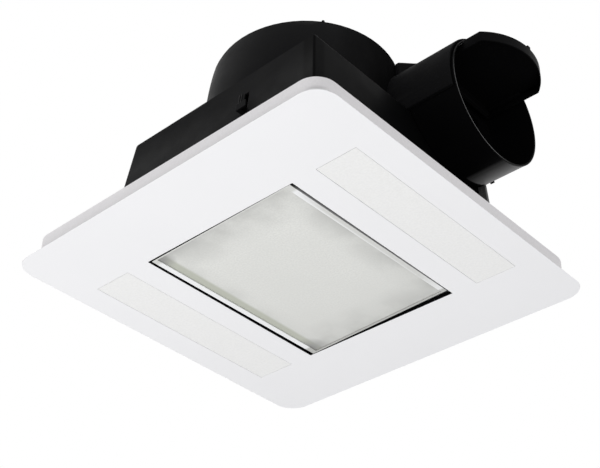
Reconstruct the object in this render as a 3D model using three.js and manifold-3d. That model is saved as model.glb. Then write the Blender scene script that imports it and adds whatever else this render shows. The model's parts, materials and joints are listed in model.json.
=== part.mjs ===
// A bathroom ceiling heater with a fan and two light strips, in millimetres.
// The ceiling plane is z = 0. The room lies below it, and the duct leaves along +X above it.
import * as THREE from "three";
import { mergeVertices } from "three/addons/utils/BufferGeometryUtils.js";
import Module from "manifold-3d";

const wasm = await Module();
wasm.setup();

// Clearances
const seat = 0.3; // between pieces that rest on or fit round each other
const overrun = 5; // how far a cutting shape runs past what it cuts
const weldReach = 1e-4; // corners closer than this are one corner

// Fascia and its openings
const openingWidth = 198.6;
const stripGap = 30.05; // from the opening's side to a light strip
const diffuserWidth = 47.9;
const edgeBand = 32.75; // from a light strip to the fascia's edge
const windowMargin = 21.65; // from the opening's end out to the housing's side
const fasciaThick = 1.6;
const fasciaCorner = 25;
const fasciaDrop = 30.9; // from the ceiling to the fascia's face
const ribInset = 6; // from the opening's edge to the rib behind it
const ribHeight = 10;
const ribWall = 1.6;
const skirtGap = 1.2;
const skirtHeight = 8;

// Ceiling frame
const frameInset = 12.8; // from the fascia's edge in to the frame's side
const frameBand = 52.3; // from the frame's side in to the housing's side
const frameCorner = 22;
const frameWall = 2.2;
const frameBack = 2.5;
const shadowGap = 1.4; // open joint between the frame and the fascia
const cutoutGap = 1.1; // between the frame's inner edge and the housing

// Light strips
const diffuserOverhang = 0.75; // how far a strip's end lies past the opening's end
const diffuserRecess = 0.2;
const diffuserLip = 3;
const diffuserLipThick = 1.2;
const trayMargin = 8;
const trayHeight = 15;
const trayWall = 1;
const boardThick = 1.6;
const boardMargin = 6;

// Heater
const airGap = 2.6; // air slot round the heater window
const bezelRail = 6.3;
const bezelEnd = 1.8;
const bezelThick = 1.2;
const bezelHeight = 14;
const bezelRecess = 0.4;
const glassThick = 4;
const reflectorSheet = 1.2;
const reflectorRim = 5;
const reflectorDepth = 38;
const reflectorSlopeX = 37.3; // from the opening's side in to the reflector's roof
const reflectorSlopeY = 27.25; // from the opening's end in to the reflector's roof
const tubeRadius = 5;
const tubeMargin = 8; // from a tube's end to the edge of the reflector's roof
const tubeInset = 30; // from the side of the reflector's roof to a tube's axis
const tubeDrop = 16; // from the reflector's roof down to a tube's axis
const holderWidth = 18;
const holderThick = 8;
const holderBelow = 8; // how far a holder reaches below its tube's axis
const tubeInHolder = 5;
const cutoutRadius = 8;
const cutoutHeight = 7;
const cutoutPlate = 1.5;
const cutoutPlateLength = 34;
const bracketSheet = 1.5;
const bracketWidth = 60;
const bracketLeg = 14;
const bracketLap = 7; // how far a bracket lies under the housing's lip

// Housing
const housingHeight = 133.8;
const housingDraft = 0.096; // how much each wall leans in for each unit of height
const housingWall = 2.5;
const housingTop = 2.5;
const lipWidth = 11.1;
const lipThick = 2.5;
const lipCorner = 6;
const eyeRadius = 68.5;

// Ceiling clamps
const clampPlace = 43.5; // along the wall, from its middle
const slotWidth = 6;
const slotFoot = 12; // top face of the thickest ceiling board
const slotDrop = 27.8; // from the housing's top down to the slot's head
const clampDrop = 30; // from the slot's head down to the clamp's underside
const footHeight = 8;
const footWidth = 17;
const footReach = 6.5;
const nutDepth = 12;
const nutGap = 2;
const clampScrewRadius = 2;
const clampScrewRise = 6; // how far a clamp's screw reaches past the slot's head
const screwHeadHeight = 2.4;
const screwHeadRadius = 4;
const screwRadius = 2;
const screwInset = 70; // from the middle to a housing screw, along the side
const screwReach = 2; // how far a short screw reaches into what it holds

// Spring legs
const legInset = 4.3; // from the opening's side in to a leg's axis
const legWallGap = 13; // from the housing's wall to a leg's axis, at the ceiling
const legRadius = 1.6;
const legGap = 0.4;
const legTravel = 60;
const legHeadRadius = 3.4;
const legHeadHeight = 2;
const socketBottom = 5;
const socketHeight = 18;
const socketWidth = 12;

// Scroll, neck and lid
const drumRadius = 107.3;
const drumHeight = 98.2;
const scrollWall = 2.5;
const lidThick = 2.5;
const neckWall = 3;
const neckInset = 3.2; // from the spigot's mouth back to the neck's end
const neckTurnInset = 7.3; // from the drum's side in to the centre of the neck's rounded back
const tongueStart = 19.8; // angle on the drum, in degrees
const tongueReach = 24;
const tongueShares = [0.2, 0.45, 0.72];
const tongueRiseShares = [0.2, 0.12, 0.02];
const lidScrewAngles = [-130, -50, 115];
const lidScrewInset = 9;
const bossRadius = 5;
const bossHeight = 14;

// Spigot and damper flap
const ductDiameter = 149.8;
const spigotWall = 2;
const spigotReach = 48.3; // from the housing's side at the ceiling out to the mouth
const spigotInset = 55.1; // from the housing's side at the ceiling in to the duct's axis
const spigotRise = 22.9; // from the housing's top up to the duct's axis
const rootPlate = 3;
const windowInset = 26.9; // from the bore's side in to the root plate's window
const windowSill = 0.9; // from the neck's floor up to the window
const windowHeadGap = 2; // from the open flap down to the window
const flapReach = 47.3; // how far the open flap stands out of the mouth
const flapCrown = 22.1; // from the bore's top down to the flap
const flapDepth = 13.5;
const flapWall = 1.8;
const flapNoseGap = 0.1; // how much smaller the flap's nose is than the bore
const flapWidthShare = 0.75; // of the nose's diameter
const flapCloseGap = 0.5;
const flapSideGap = 0.8;
const flapPinRadius = 1.6;
const flapBarrelRadius = 3.6;

// Fan
const shaftRadius = 4;
const motorRadius = 42;
const motorHeight = 58;
const motorBellHeight = 10;
const motorBellInset = 5;
const motorScrewPlace = 30;
const motorScrewAngles = [90, 210, 330];
const wheelRadius = 85;
const wheelEye = 70.5;
const wheelHeight = 66;
const wheelGap = 4; // from the housing's top to the wheel
const wheelSheet = 1.6;
const bladeCount = 26;
const bladeThick = 1.4;
const bladeSteps = 3;
const bladeTurn = 12; // degrees that a blade leads from its inner to its outer edge
const dishGap = 5;
const hubRadius = 10;
const hubHeight = 18;
const nutRadius = 8;
const nutHeight = 6;
const ringThroat = 66;
const ringFlange = 82;
const ringSheet = 1.5;
const ringLead = 1.5; // how far the inlet ring stays below the wheel

// Terminal box and electrical pieces
const boxLength = 96;
const boxHeight = 52;
const boxFoot = 28;
const boxDepth = 34;
const boxWall = 2;
const boxPlace = 10;
const coverThick = 2;
const hingeRadius = 2.6;
const hingePinRadius = 1;
const hingeDrop = 3.4;
const lugWidth = 8;
const glandRadius = 8;
const glandBore = 5.5;
const glandCollar = 11;
const glandCollarThick = 5;
const glandReach = 16;
const blockLength = 60;
const blockHeight = 18;
const blockDepth = 14;
const blockWays = 4;
const blockWayRadius = 3;
const driverLength = 90;
const driverHeight = 30;
const driverDepth = 20;
const driverFoot = 26;
const capacitorRadius = 16;
const capacitorHeight = 44;
const capacitorFoot = 30;

// Facets of round shapes
const fineSides = 64;
const wheelSides = 40;
const midSides = 24;
const smallSides = 10;
const hexSides = 6;

// Places that follow from the sizes above
const fasciaHalf = openingWidth / 2 + stripGap + diffuserWidth + edgeBand;
const fasciaFace = -fasciaDrop;
const fasciaBack = fasciaFace + fasciaThick;
const frameHalf = fasciaHalf - frameInset;
const frameEdge = fasciaBack + shadowGap;
const housingHalf = frameHalf - frameBand; // half the housing's side at the ceiling
const openingLength = 2 * (housingHalf - windowMargin);
const diffuserLength = openingLength + 2 * diffuserOverhang;
const diffuserPlace = openingWidth / 2 + stripGap + diffuserWidth / 2; // a strip's centre line
const reflectorTopX = openingWidth / 2 - reflectorSlopeX;
const reflectorTopY = openingLength / 2 - reflectorSlopeY;
const tubeLength = 2 * (reflectorTopY - tubeMargin);
const tubePlace = reflectorTopX - tubeInset;
const slotHead = housingHeight - slotDrop;
const clampBottom = slotHead - clampDrop;
const clampScrewTop = slotHead + clampScrewRise;
const legPlaceX = openingWidth / 2 - legInset;
const lipTop = -frameBack - seat;
const lipBottom = lipTop - lipThick;
const scrollFoot = housingHeight + seat;
const drumTop = housingHeight + drumHeight;
const lidFoot = drumTop - lidThick;
const ductRadius = ductDiameter / 2;
const boreRadius = ductRadius - spigotWall;
const sleeveRadius = ductRadius + seat + neckWall;
const spigotRim = housingHalf + spigotReach; // x of the mouth
const spigotSide = housingHalf - spigotInset; // y of the duct's axis
const spigotHeight = housingHeight + spigotRise; // z of the duct's axis
const neckEnd = spigotRim - neckInset;
const neckTurn = drumRadius - neckTurnInset;
const flapTip = spigotRim + flapReach;
const flapTop = spigotHeight + boreRadius - flapCrown;
const flapNoseRadius = boreRadius - flapNoseGap;
const flapHalf = flapNoseRadius * flapWidthShare;
const windowHalf = boreRadius - windowInset;
const windowFoot = scrollFoot + neckWall + windowSill;
const windowHead = flapTop - flapDepth - windowHeadGap;
const flapMiddle = flapTop - flapDepth / 2;
const rootFace = housingHalf - housingDraft * (spigotHeight - ductRadius) + seat + rootPlate;
const flapHinge = rootFace + flapCloseGap + flapDepth / 2;
const wheelFoot = housingHeight + wheelGap;
const wheelTop = wheelFoot + wheelHeight;
const motorTop = lidFoot - seat;
const motorFoot = motorTop - motorHeight;

function material(color, roughness, metalness) {
  return new THREE.MeshStandardMaterial({ color, roughness, metalness });
}

const whitePlastic = material(0xeeeef0, 0.45, 0);
const frameWhite = material(0xdcdadc, 0.5, 0);
const diffuserWhite = material(0xf0f0ee, 0.7, 0);
const blackPlastic = material(0x17181a, 0.45, 0);
const frostedGlass = material(0xdadbd5, 0.6, 0);
const brightMetal = material(0xc9cbcc, 0.3, 1);
const steel = material(0x9a9c9e, 0.4, 1);
const ceramicWhite = material(0xe6e2d8, 0.6, 0);
const quartz = material(0xd9a066, 0.2, 0);
const boardGreen = material(0xe9efe9, 0.5, 0);
const greyPlastic = material(0x8d9094, 0.5, 0);
const terminalGrey = material(0xbfc2c2, 0.5, 0);

const root = new THREE.Group();

// Solids and placing

function solid(geometry) {
  const bare = geometry.clone();
  bare.deleteAttribute("normal");
  bare.deleteAttribute("uv");
  const merged = mergeVertices(bare, weldReach);
  return new wasm.Manifold(
    new wasm.Mesh({
      numProp: 3,
      vertProperties: new Float32Array(merged.attributes.position.array),
      triVerts: new Uint32Array(merged.index.array),
    }),
  );
}

function join(first, ...others) {
  return others.reduce((sum, other) => sum.add(other), first);
}

function cut(first, ...others) {
  return others.reduce((rest, other) => rest.subtract(other), first);
}

function place(name, shape, finish, parent = root) {
  const mesh = shape.getMesh();
  const geometry = new THREE.BufferGeometry();
  geometry.setAttribute("position", new THREE.BufferAttribute(mesh.vertProperties, 3));
  geometry.setIndex(new THREE.BufferAttribute(mesh.triVerts, 1));
  geometry.computeVertexNormals();
  const piece = new THREE.Mesh(geometry, finish);
  piece.name = name;
  parent.add(piece);
  return piece;
}

function degrees(value) {
  return THREE.MathUtils.degToRad(value);
}

// A box between two corners.
function block(x0, x1, y0, y1, z0, z1) {
  const box = new THREE.BoxGeometry(x1 - x0, y1 - y0, z1 - z0);
  box.translate((x0 + x1) / 2, (y0 + y1) / 2, (z0 + z1) / 2);
  return solid(box);
}

// A block that is centred on the z axis and whose sides lean evenly from bottom to top.
function leaningBlock(bottomX, bottomY, topX, topY, z0, z1) {
  const box = new THREE.BoxGeometry(1, 1, 1);
  const points = box.attributes.position;
  for (let i = 0; i < points.count; i += 1) {
    const atTop = points.getZ(i) > 0;
    const halfX = atTop ? topX : bottomX;
    const halfY = atTop ? topY : bottomY;
    points.setXYZ(i, Math.sign(points.getX(i)) * halfX, Math.sign(points.getY(i)) * halfY, atTop ? z1 : z0);
  }
  return solid(box);
}

// A cylinder along z, x or y.
function rodZ(radius, z0, z1, x, y, sides) {
  const rod = new THREE.CylinderGeometry(radius, radius, z1 - z0, sides);
  rod.rotateX(Math.PI / 2);
  rod.translate(x, y, (z0 + z1) / 2);
  return solid(rod);
}

function rodX(radius, x0, x1, y, z, sides) {
  const rod = new THREE.CylinderGeometry(radius, radius, x1 - x0, sides);
  rod.rotateZ(Math.PI / 2);
  rod.translate((x0 + x1) / 2, y, z);
  return solid(rod);
}

function rodY(radius, y0, y1, x, z, sides) {
  const rod = new THREE.CylinderGeometry(radius, radius, y1 - y0, sides);
  rod.translate(x, (y0 + y1) / 2, z);
  return solid(rod);
}

// A flat plate with rounded corners, centred on the z axis.
function roundedPlate(halfX, halfY, corner, z0, z1) {
  const outline = new THREE.Shape();
  const turns = [
    [halfX - corner, halfY - corner, 0],
    [corner - halfX, halfY - corner, 1],
    [corner - halfX, corner - halfY, 2],
    [halfX - corner, corner - halfY, 3],
  ];
  for (const [x, y, quarter] of turns) {
    const start = (quarter * Math.PI) / 2;
    outline.absarc(x, y, corner, start, start + Math.PI / 2);
  }
  return extruded(outline, z0, z1, smallSides / 2);
}

function extruded(outline, z0, z1, curveSegments) {
  const shape = new THREE.ExtrudeGeometry(outline, {
    depth: z1 - z0,
    bevelEnabled: false,
    curveSegments,
  });
  shape.translate(0, 0, z0);
  return solid(shape);
}

// A turned shape about the z axis, from points of radius and height.
function turned(points, sides) {
  const profile = points.map(([radius, height]) => new THREE.Vector2(radius, height));
  const shape = new THREE.LatheGeometry(profile, sides);
  shape.rotateX(Math.PI / 2);
  return solid(shape);
}

// Half the housing's side at a height, outside and inside.
function housingAt(z) {
  return housingHalf - housingDraft * z;
}

function housingInside(z) {
  return housingAt(z) - housingWall;
}

// The housing's outer form, grown by a margin.
function housingForm(margin, z0, z1) {
  const bottom = housingAt(z0) + margin;
  const top = housingAt(z1) + margin;
  return leaningBlock(bottom, bottom, top, top, z0, z1);
}

// Ceiling frame and housing

function housingScrewPlaces() {
  const across = housingHalf + lipWidth / 2;
  return [
    [across, screwInset],
    [across, -screwInset],
    [-across, screwInset],
    [-across, -screwInset],
  ];
}

function ceilingFrame() {
  const shell = roundedPlate(frameHalf, frameHalf, frameCorner, frameEdge, 0);
  const inner = frameHalf - frameWall;
  const hollow = roundedPlate(inner, inner, frameCorner - frameWall, frameEdge - overrun, -frameBack);
  const edge = housingAt(-frameBack) + cutoutGap;
  const opening = block(-edge, edge, -edge, edge, -frameBack - overrun, overrun);
  const holes = housingScrewPlaces().map(([x, y]) =>
    rodZ(screwRadius + seat, -frameBack - overrun, overrun, x, y, smallSides),
  );
  place("ceiling_frame", cut(shell, hollow, opening, ...holes), frameWhite);
}

function clampSpots() {
  return [
    { name: "near", side: -1, x: clampPlace },
    { name: "far", side: 1, x: -clampPlace },
  ];
}

function housing() {
  const lip = roundedPlate(housingHalf + lipWidth, housingHalf + lipWidth, lipCorner, lipBottom, lipTop);
  const shell = join(housingForm(0, lipBottom, housingHeight), lip);
  const roof = housingHeight - housingTop;
  const hollow = leaningBlock(
    housingInside(lipBottom - overrun),
    housingInside(lipBottom - overrun),
    housingInside(roof),
    housingInside(roof),
    lipBottom - overrun,
    roof,
  );
  const eye = rodZ(eyeRadius, roof - overrun, housingHeight + overrun, 0, 0, fineSides);
  const slots = clampSpots().map(({ side, x }) => {
    const inside = side * (housingInside(slotHead) - overrun);
    const outside = side * (housingHalf + overrun);
    const [y0, y1] = [inside, outside].sort((a, b) => a - b);
    return block(x - slotWidth / 2, x + slotWidth / 2, y0, y1, slotFoot, slotHead);
  });
  const holes = housingScrewPlaces().map(([x, y]) =>
    rodZ(screwRadius + seat, lipBottom - overrun, lipTop + overrun / 2, x, y, smallSides),
  );
  const shelves = clampSpots().map(({ side, x }) => clampShelf(side, x));
  place("housing", cut(join(cut(shell, hollow), ...shelves), eye, ...slots, ...holes), blackPlastic);
}

// The inside line that a clamp's screw stands on.
function clampScrewLine(side) {
  return side * (housingInside(slotHead) - nutGap - nutDepth / 2);
}

// A small shelf inside the wall, which carries the head of a clamp's screw.
function clampShelf(side, x) {
  const line = clampScrewLine(side);
  const wall = side * (housingAt(0) - housingWall / 2);
  const far = line - (side * nutDepth) / 2;
  const [y0, y1] = [far, wall].sort((a, b) => a - b);
  const shelf = block(x - nutDepth / 2, x + nutDepth / 2, y0, y1, 0, housingWall);
  return cut(shelf, rodZ(clampScrewRadius + seat, -overrun, overrun, x, line, smallSides));
}

function housingScrews() {
  housingScrewPlaces().forEach(([x, y], index) => {
    const headTop = lipBottom - seat;
    const head = rodZ(screwHeadRadius, headTop - screwHeadHeight, headTop, x, y, smallSides);
    const shank = rodZ(screwRadius, headTop - screwHeadHeight / 2, -seat, x, y, smallSides);
    place(`housing_screw_${index + 1}`, join(head, shank), steel);
  });
}

function ceilingClamps() {
  for (const { name, side, x } of clampSpots()) {
    const group = new THREE.Group();
    const line = clampScrewLine(side);
    const top = clampBottom + footHeight;
    const outer = side * (housingAt(slotFoot) + seat);
    const tip = outer + side * footReach;
    const [f0, f1] = [outer, tip].sort((a, b) => a - b);
    const foot = block(x - footWidth / 2, x + footWidth / 2, f0, f1, clampBottom, top);
    const neckHalf = slotWidth / 2 - seat;
    const [n0, n1] = [line, outer + side * seat].sort((a, b) => a - b);
    const neck = block(x - neckHalf, x + neckHalf, n0, n1, clampBottom, top);
    const nutHalf = nutDepth / 2;
    const nut = block(x - nutHalf, x + nutHalf, line - nutHalf, line + nutHalf, clampBottom, top);
    const bore = rodZ(clampScrewRadius + seat, clampBottom - overrun, top + overrun, x, line, smallSides);
    place(`ceiling_clamp_${name}`, cut(join(foot, neck, nut), bore), blackPlastic, group);
    const headTop = -seat;
    const head = rodZ(screwHeadRadius, headTop - screwHeadHeight, headTop, x, line, smallSides);
    const shank = rodZ(clampScrewRadius, headTop - screwHeadHeight / 2, clampScrewTop, x, line, smallSides);
    place(`clamp_screw_${name}`, join(head, shank), steel, group);
    root.add(group);
  }
}

// Fascia with its light strips

// A block that stands the same way on both sides of a place in plan.
function evenBlock(x, y, halfX, halfY, z0, z1) {
  return block(x - halfX, x + halfX, y - halfY, y + halfY, z0, z1);
}

// The upright rim behind the fascia, which enters the ceiling frame.
function fasciaSkirt() {
  const half = frameHalf - frameWall - skirtGap;
  const corner = frameCorner - frameWall;
  const top = fasciaBack + skirtHeight;
  const inner = half - ribWall;
  return cut(
    roundedPlate(half, half, corner, fasciaBack - fasciaThick / 2, top),
    roundedPlate(inner, inner, corner - ribWall, fasciaBack - fasciaThick, top + overrun),
  );
}

// The rib round the heater opening, with room for the spring legs' heads.
function openingRib() {
  const ribX = openingWidth / 2 + ribInset;
  const ribY = openingLength / 2 + ribInset;
  const top = fasciaBack + ribHeight;
  return cut(
    evenBlock(0, 0, ribX + ribWall, ribY + ribWall, fasciaBack - fasciaThick / 2, top),
    evenBlock(0, 0, ribX, ribY, fasciaBack - fasciaThick, top + overrun),
    ...legPlaces().map(([x, y]) => evenBlock(x, y, legHeadRadius, legHeadRadius, fasciaBack, top + overrun)),
  );
}

function fasciaPlate() {
  const plate = roundedPlate(fasciaHalf, fasciaHalf, fasciaCorner, fasciaFace, fasciaBack);
  const low = fasciaFace - overrun;
  const high = fasciaBack + overrun;
  const opening = evenBlock(0, 0, openingWidth / 2, openingLength / 2, low, high);
  const windows = [-1, 1].map((side) =>
    evenBlock(side * diffuserPlace, 0, diffuserWidth / 2, diffuserLength / 2, low, high),
  );
  place("fascia_plate", cut(join(plate, fasciaSkirt(), openingRib()), opening, ...windows), whitePlastic);
}

// A light strip is a diffuser, a tray behind it and a board in the tray, each about its own middle.
const stripFoot = fasciaBack + seat;
const stripHalfX = diffuserWidth / 2 - seat;
const stripHalfY = diffuserLength / 2 - seat;
const trayHalfX = stripHalfX + trayMargin;
const trayHalfY = stripHalfY + trayMargin;
const trayTop = stripFoot + trayHeight;

function lightDiffuser() {
  const head = stripFoot + diffuserLipThick;
  const face = evenBlock(0, 0, stripHalfX, stripHalfY, fasciaFace + diffuserRecess, head);
  return join(face, evenBlock(0, 0, stripHalfX + diffuserLip, stripHalfY + diffuserLip, stripFoot, head));
}

function ledTray() {
  return cut(
    evenBlock(0, 0, trayHalfX, trayHalfY, stripFoot, trayTop),
    evenBlock(0, 0, trayHalfX - trayWall, trayHalfY - trayWall, stripFoot - overrun, trayTop - trayWall),
  );
}

function ledBoard() {
  const top = trayTop - trayWall - seat;
  return evenBlock(0, 0, trayHalfX - boardMargin, trayHalfY - boardMargin, top - boardThick, top);
}

function lightStrips() {
  for (const [name, side] of [
    ["left", -1],
    ["right", 1],
  ]) {
    const group = new THREE.Group();
    group.position.x = side * diffuserPlace;
    root.add(group);
    place(`light_diffuser_${name}`, lightDiffuser(), diffuserWhite, group);
    place(`led_tray_${name}`, ledTray(), frameWhite, group);
    place(`led_board_${name}`, ledBoard(), boardGreen, group);
  }
}

// Spring legs that hold the fascia up

function legPlaces() {
  const y = housingInside(0) - legWallGap;
  return [
    [legPlaceX, y],
    [legPlaceX, -y],
    [-legPlaceX, y],
    [-legPlaceX, -y],
  ];
}

function springLegs() {
  const socketTop = socketBottom + socketHeight;
  legPlaces().forEach(([x, y], index) => {
    const headFoot = socketTop + legTravel + seat;
    const foot = fasciaBack + seat;
    const leg = rodZ(legRadius, foot, headFoot + legHeadHeight / 2, x, y, smallSides);
    const head = rodZ(legHeadRadius, headFoot, headFoot + legHeadHeight, x, y, smallSides);
    const base = rodZ(legHeadRadius - seat, foot, foot + legHeadHeight, x, y, smallSides);
    place(`spring_leg_${index + 1}`, join(leg, head, base), steel);
    const side = Math.sign(y);
    const wallFace = side * (housingInside(socketTop) - seat);
    const far = y - (side * socketWidth) / 2;
    const [y0, y1] = [far, wallFace].sort((a, b) => a - b);
    const socket = block(x - socketWidth / 2, x + socketWidth / 2, y0, y1, socketBottom, socketTop);
    const bore = rodZ(legRadius + legGap, socketBottom - overrun, socketTop + overrun, x, y, smallSides);
    place(`spring_socket_${index + 1}`, cut(socket, bore), greyPlastic);
  });
}

// Heater behind the window

const windowX = openingWidth / 2 - airGap;
const windowY = openingLength / 2 - airGap;
const bezelFace = fasciaFace + bezelRecess;
const glassFoot = bezelFace + bezelThick + seat;
const rimFoot = glassFoot + glassThick + seat;
const rimX = windowX - bezelThick - seat;
const rimY = windowY - bezelThick - seat;
const reflectorRoof = rimFoot + reflectorDepth;

function heaterWindow() {
  const bezel = cut(
    block(-windowX, windowX, -windowY, windowY, bezelFace, bezelFace + bezelHeight),
    block(
      -windowX + bezelThick,
      windowX - bezelThick,
      -windowY + bezelThick,
      windowY - bezelThick,
      bezelFace + bezelThick,
      bezelFace + bezelHeight + overrun,
    ),
    block(
      -windowX + bezelRail,
      windowX - bezelRail,
      -windowY + bezelEnd,
      windowY - bezelEnd,
      bezelFace - overrun,
      bezelFace + bezelHeight,
    ),
  );
  place("heater_bezel", bezel, brightMetal);
  const glass = block(-rimX, rimX, -rimY, rimY, glassFoot, glassFoot + glassThick);
  place("heater_glass", glass, frostedGlass);
}

function reflector() {
  const mouthX = rimX - reflectorRim;
  const mouthY = rimY - reflectorRim;
  const rim = block(-rimX, rimX, -rimY, rimY, rimFoot, rimFoot + reflectorSheet);
  const outer = leaningBlock(mouthX, mouthY, reflectorTopX, reflectorTopY, rimFoot, reflectorRoof);
  const inner = leaningBlock(
    mouthX - reflectorSheet,
    mouthY - reflectorSheet,
    reflectorTopX - reflectorSheet,
    reflectorTopY - reflectorSheet,
    rimFoot - overrun,
    reflectorRoof - reflectorSheet,
  );
  place("heater_reflector", cut(join(rim, outer), inner), brightMetal);
}

function heatingTubes() {
  const axis = reflectorRoof - reflectorSheet - tubeDrop;
  const holderTop = reflectorRoof - reflectorSheet - seat;
  const half = tubeLength / 2;
  let holder = 1;
  [-1, 1].forEach((side, index) => {
    const x = side * tubePlace;
    place(`heating_tube_${index + 1}`, rodY(tubeRadius, -half, half, x, axis, midSides), quartz);
    for (const end of [-1, 1]) {
      const inner = end * (half - tubeInHolder);
      const outer = inner + end * holderThick;
      const [y0, y1] = [inner, outer].sort((a, b) => a - b);
      const body = block(x - holderWidth / 2, x + holderWidth / 2, y0, y1, axis - holderBelow, holderTop);
      const seatEnd = end * (half + seat);
      const [s0, s1] = [inner - end * overrun, seatEnd].sort((a, b) => a - b);
      const socket = rodY(tubeRadius + seat, s0, s1, x, axis, midSides);
      place(`tube_holder_${holder}`, cut(body, socket), ceramicWhite);
      holder += 1;
    }
  });
}

function thermalCutout() {
  const foot = reflectorRoof + seat;
  const plateTop = foot + cutoutPlate;
  const halfLength = cutoutPlateLength / 2;
  const plate = block(-cutoutRadius / 2, cutoutRadius / 2, -halfLength, halfLength, foot, plateTop);
  const can = rodZ(cutoutRadius, foot, plateTop + cutoutHeight, 0, 0, midSides);
  place("thermal_cutout", join(plate, can), blackPlastic);
}

function heaterBrackets() {
  for (const [name, side] of [
    ["left", -1],
    ["right", 1],
  ]) {
    const legFace = windowX + seat;
    const strapTop = lipBottom - seat;
    const strapFoot = strapTop - bracketSheet;
    const strapEnd = housingInside(lipBottom) + bracketLap;
    const half = bracketWidth / 2;
    const strap = block(legFace, strapEnd, -half, half, strapFoot, strapTop);
    const leg = block(legFace, legFace + bracketSheet, -half, half, strapTop - bracketLeg, strapTop);
    const bracket = place(`heater_bracket_${name}`, join(strap, leg), steel);
    bracket.rotation.z = side > 0 ? 0 : Math.PI;
  }
}

// Scroll casing, lid and inlet ring

// A cylinder on the duct's axis.
function ductRod(radius, x0, x1) {
  return rodX(radius, x0, x1, spigotSide, spigotHeight, fineSides);
}

// The neck's form, a cylinder on the duct's axis whose back is rounded in plan.
function neckForm(radius, end) {
  const head = spigotHeight + radius + overrun;
  const back = rodZ(radius, 0, head, neckTurn, spigotSide, fineSides);
  const front = block(neckTurn, end, spigotSide - radius, spigotSide + radius, 0, head);
  return ductRod(radius, neckTurn - radius, end).intersect(join(back, front));
}

// The corner piece between the drum and the neck, as a plan outline.
function tongueOutline() {
  const start = degrees(tongueStart);
  const startX = drumRadius * Math.cos(start);
  const startY = drumRadius * Math.sin(start);
  const rise = drumTop - spigotHeight;
  const edgeY = spigotSide - (sleeveRadius * Math.SQRT2 - rise);
  const endX = startX + tongueReach;
  const outline = new THREE.Shape();
  outline.moveTo(startX - scrollWall, startY);
  outline.lineTo(startX, startY);
  tongueShares.forEach((share, index) => {
    const drop = tongueRiseShares[index] * (edgeY - startY);
    outline.lineTo(startX + share * tongueReach, startY + share * (edgeY - startY) - drop);
  });
  outline.lineTo(endX, edgeY);
  outline.lineTo(endX, spigotSide);
  outline.lineTo(startX - scrollWall, spigotSide);
  return outline;
}

function scrollHousing() {
  const drum = rodZ(drumRadius, scrollFoot, lidFoot - seat, 0, 0, fineSides);
  const above = block(
    -drumRadius,
    neckEnd + overrun,
    -drumRadius,
    spigotSide + sleeveRadius + overrun,
    scrollFoot,
    spigotHeight + sleeveRadius + overrun,
  );
  const neck = neckForm(sleeveRadius, neckEnd).intersect(above);
  const tongue = extruded(tongueOutline(), scrollFoot, drumTop, smallSides);
  const hollow = rodZ(drumRadius - scrollWall, scrollFoot - overrun, drumTop + sleeveRadius, 0, 0, fineSides);
  const bore = neckForm(ductRadius + seat, neckEnd + overrun);
  const lidRoom = rodZ(drumRadius + seat, lidFoot - seat, drumTop + sleeveRadius, 0, 0, fineSides);
  const bosses = lidScrewAngles.map((angle) => lidBoss(angle));
  // The neck reaches over the housing's edge, so it has a floor of its own there.
  const floorTop = scrollFoot + neckWall;
  const floorRoom = block(-drumRadius, neckEnd, 0, spigotSide + sleeveRadius, scrollFoot, floorTop);
  const floor = cut(neckForm(sleeveRadius, housingAt(housingHeight) - seat).intersect(floorRoom), hollow);
  const shell = join(cut(join(drum, cut(join(neck, tongue), lidRoom)), hollow, bore), floor, ...bosses);
  const holes = lidScrewPlaces().map(([x, y]) =>
    rodZ(screwRadius + seat, lidFoot - bossHeight, drumTop + overrun, x, y, smallSides),
  );
  place("scroll_housing", cut(shell, ...holes), blackPlastic);
}

function lidScrewPlaces() {
  const radius = drumRadius - lidScrewInset;
  return lidScrewAngles.map((angle) => [radius * Math.cos(degrees(angle)), radius * Math.sin(degrees(angle))]);
}

// A boss inside the drum's wall, which a lid screw goes into.
function lidBoss(angle) {
  const radius = drumRadius - lidScrewInset;
  const top = lidFoot - seat;
  const reach = drumRadius - scrollWall / 2;
  const web = block(radius - bossRadius, reach, -bossRadius, bossRadius, top - bossHeight, top);
  return web.rotate([0, 0, angle]);
}

function scrollLid() {
  const disc = rodZ(drumRadius, lidFoot, drumTop, 0, 0, fineSides);
  const holes = lidScrewPlaces().map(([x, y]) =>
    rodZ(screwRadius + seat, lidFoot - overrun, drumTop + overrun, x, y, smallSides),
  );
  const motorHoles = motorScrewPlaces().map(([x, y]) =>
    rodZ(screwRadius + seat, lidFoot - overrun, drumTop + overrun, x, y, smallSides),
  );
  place("scroll_lid", cut(disc, ...holes, ...motorHoles), blackPlastic);
  lidScrewPlaces().forEach(([x, y], index) => lidScrew(`lid_screw_${index + 1}`, x, y, bossHeight / 2));
  motorScrewPlaces().forEach(([x, y], index) => lidScrew(`motor_screw_${index + 1}`, x, y, screwReach * 2));
}

function lidScrew(name, x, y, reach) {
  const foot = drumTop + seat;
  const head = rodZ(screwHeadRadius, foot, foot + screwHeadHeight, x, y, smallSides);
  const shank = rodZ(screwRadius, lidFoot - reach, foot + screwHeadHeight / 2, x, y, smallSides);
  place(name, join(head, shank), steel);
}

function inletRing() {
  const roof = housingHeight - housingTop;
  const flangeTop = roof - seat;
  const flangeFoot = flangeTop - ringSheet;
  const head = wheelFoot - ringLead;
  const throat = ringThroat + ringSheet;
  const ring = turned(
    [
      [ringThroat, flangeFoot],
      [ringFlange, flangeFoot],
      [ringFlange, flangeTop],
      [throat, flangeTop],
      [throat, head],
      [ringThroat, head],
      [ringThroat, flangeFoot],
    ],
    wheelSides,
  );
  place("inlet_ring", ring, blackPlastic);
}

// Motor and wheel

function motorScrewPlaces() {
  return motorScrewAngles.map((angle) => [
    motorScrewPlace * Math.cos(degrees(angle)),
    motorScrewPlace * Math.sin(degrees(angle)),
  ]);
}

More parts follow.
